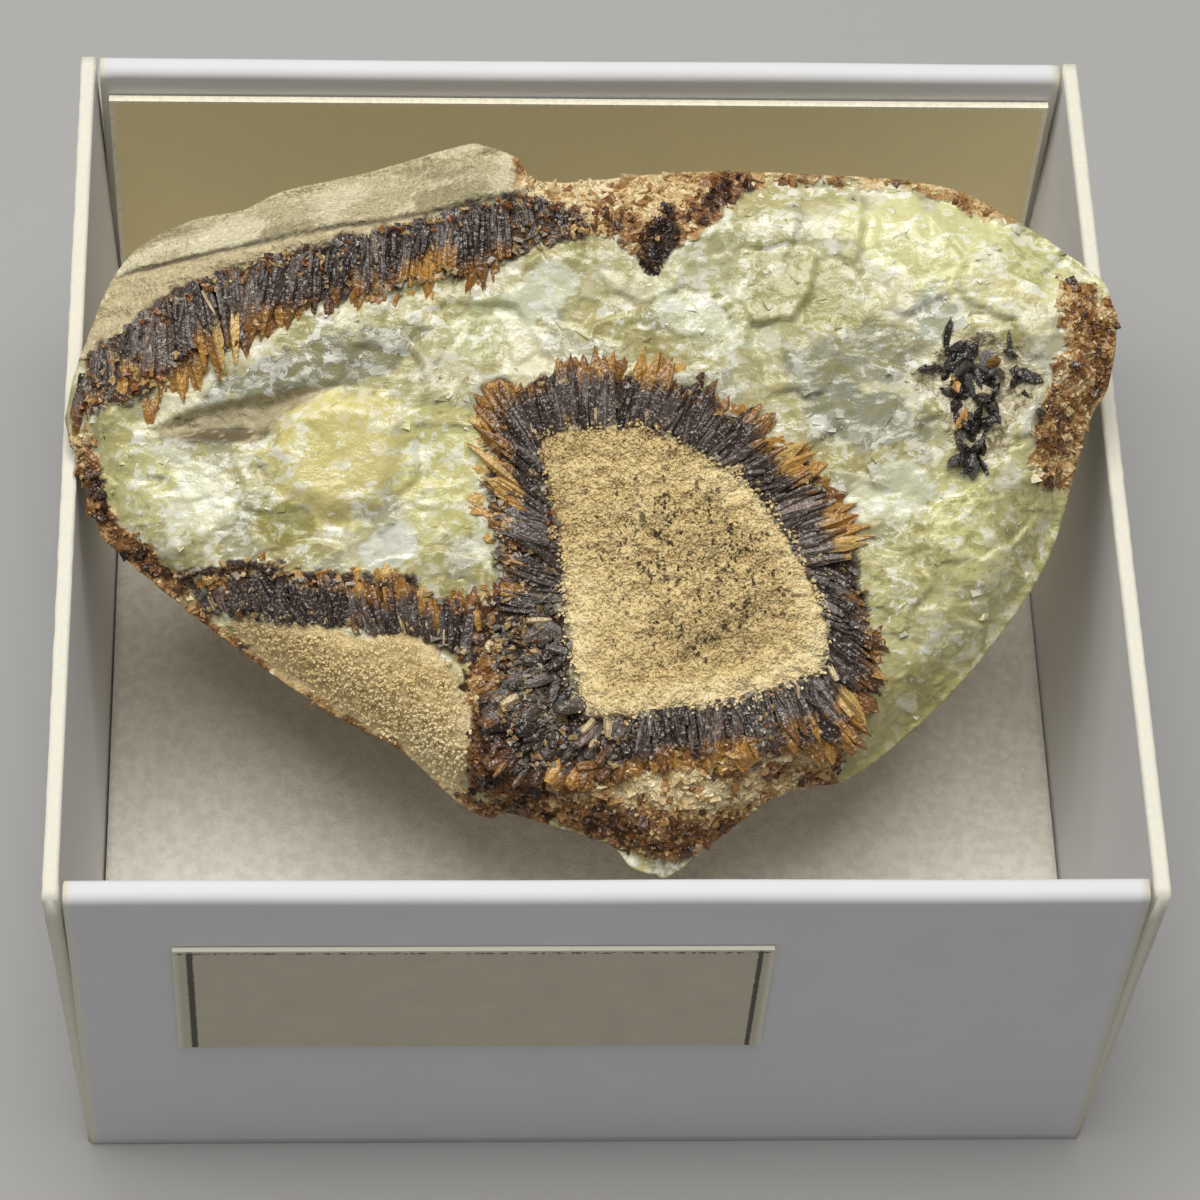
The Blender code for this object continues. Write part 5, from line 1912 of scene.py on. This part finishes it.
@dataclass(frozen=True)
class Studio:
    """Pale floor, soft lights and the camera."""

    lens: float = 130.05
    place: Triple = (-0.00903, -0.09718, 0.15849)
    lit_point: Triple = (0.0, 0.0, 0.01)
    floor_half: float = 3.0
    floor_drop: float = 0.00005

    def floor(self) -> None:
        """A plain pale floor, which isn't part of the object."""
        corners = ((-1, -1), (1, -1), (1, 1), (-1, 1))
        points = np.array([(*np.multiply(c, self.floor_half), -self.floor_drop) for c in corners])
        ground = new_mesh("floor", points, [[0, 1, 2, 3]], smooth=False)
        s = Sheet("pale_floor")
        ground.data.materials.append(s.finish(Base_Color=tone(170, 169, 167), Roughness=0.9))

    def light(self, name: str, place: Triple, size: float, watts: float, colour: Tone) -> None:
        """A square soft light that looks at the tray.

        Args:
            name: its name.
            place: where it hangs, in metres.
            size: the length of its sides, in metres.
            watts: its power.
            colour: its colour.
        """
        data = bpy.data.lights.new(name, "AREA")
        data.shape = "SQUARE"
        data.size = size
        data.energy = watts
        data.color = colour
        obj = bpy.data.objects.new(name, data)
        obj.location = place
        aim = Vector(self.lit_point) - obj.location
        obj.rotation_euler = aim.to_track_quat("-Z", "Y").to_euler()
        bpy.context.scene.collection.objects.link(obj)

    def build(self) -> None:
        """Set up floor, lights, surroundings and camera."""
        self.floor()
        self.light("over", (-0.02, 0.02, 0.45), 0.34, 2.05, (1.0, 0.985, 0.96))
        self.light("left", (-0.34, 0.05, 0.3), 0.16, 0.18, (1.0, 0.99, 0.97))
        world = bpy.data.worlds.new("soft_room")
        bpy.context.scene.world = world
        world.use_nodes = True
        around = world.node_tree.nodes["Background"].inputs
        around["Color"].default_value = (0.92, 0.95, 1.0, 1.0)
        around["Strength"].default_value = 0.16
        bpy.context.scene.view_settings.view_transform = "Standard"
        camera = bpy.data.cameras.new("camera")
        camera.lens = self.lens
        camera.sensor_width = 36.0
        camera.clip_start = 0.01
        camera.dof.use_dof = False
        obj = bpy.data.objects.new("camera", camera)
        obj.location = self.place
        obj.rotation_euler = Matrix(BrokenFace().frame_turn().tolist()).to_euler()
        bpy.context.scene.collection.objects.link(obj)
        bpy.context.scene.camera = obj


def main() -> None:
    """Build and dress every piece in order."""
    logging.basicConfig(level=logging.INFO)
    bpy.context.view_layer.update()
    settle(CardTray().build(), ["card_tray"])
    foam = FoamPad().build()
    settle(foam, ["foam_pad"])
    name, number = Labels().build()
    settle(name, ["name_label"])
    settle(number, ["number_label"])
    nodule = Nodule()
    settle(nodule.body(), ["nodule"])
    for piece in CrystalGrowth(nodule).build():
        settle(piece, [])
    Studio().build()


if __name__ == "__main__":
    main()
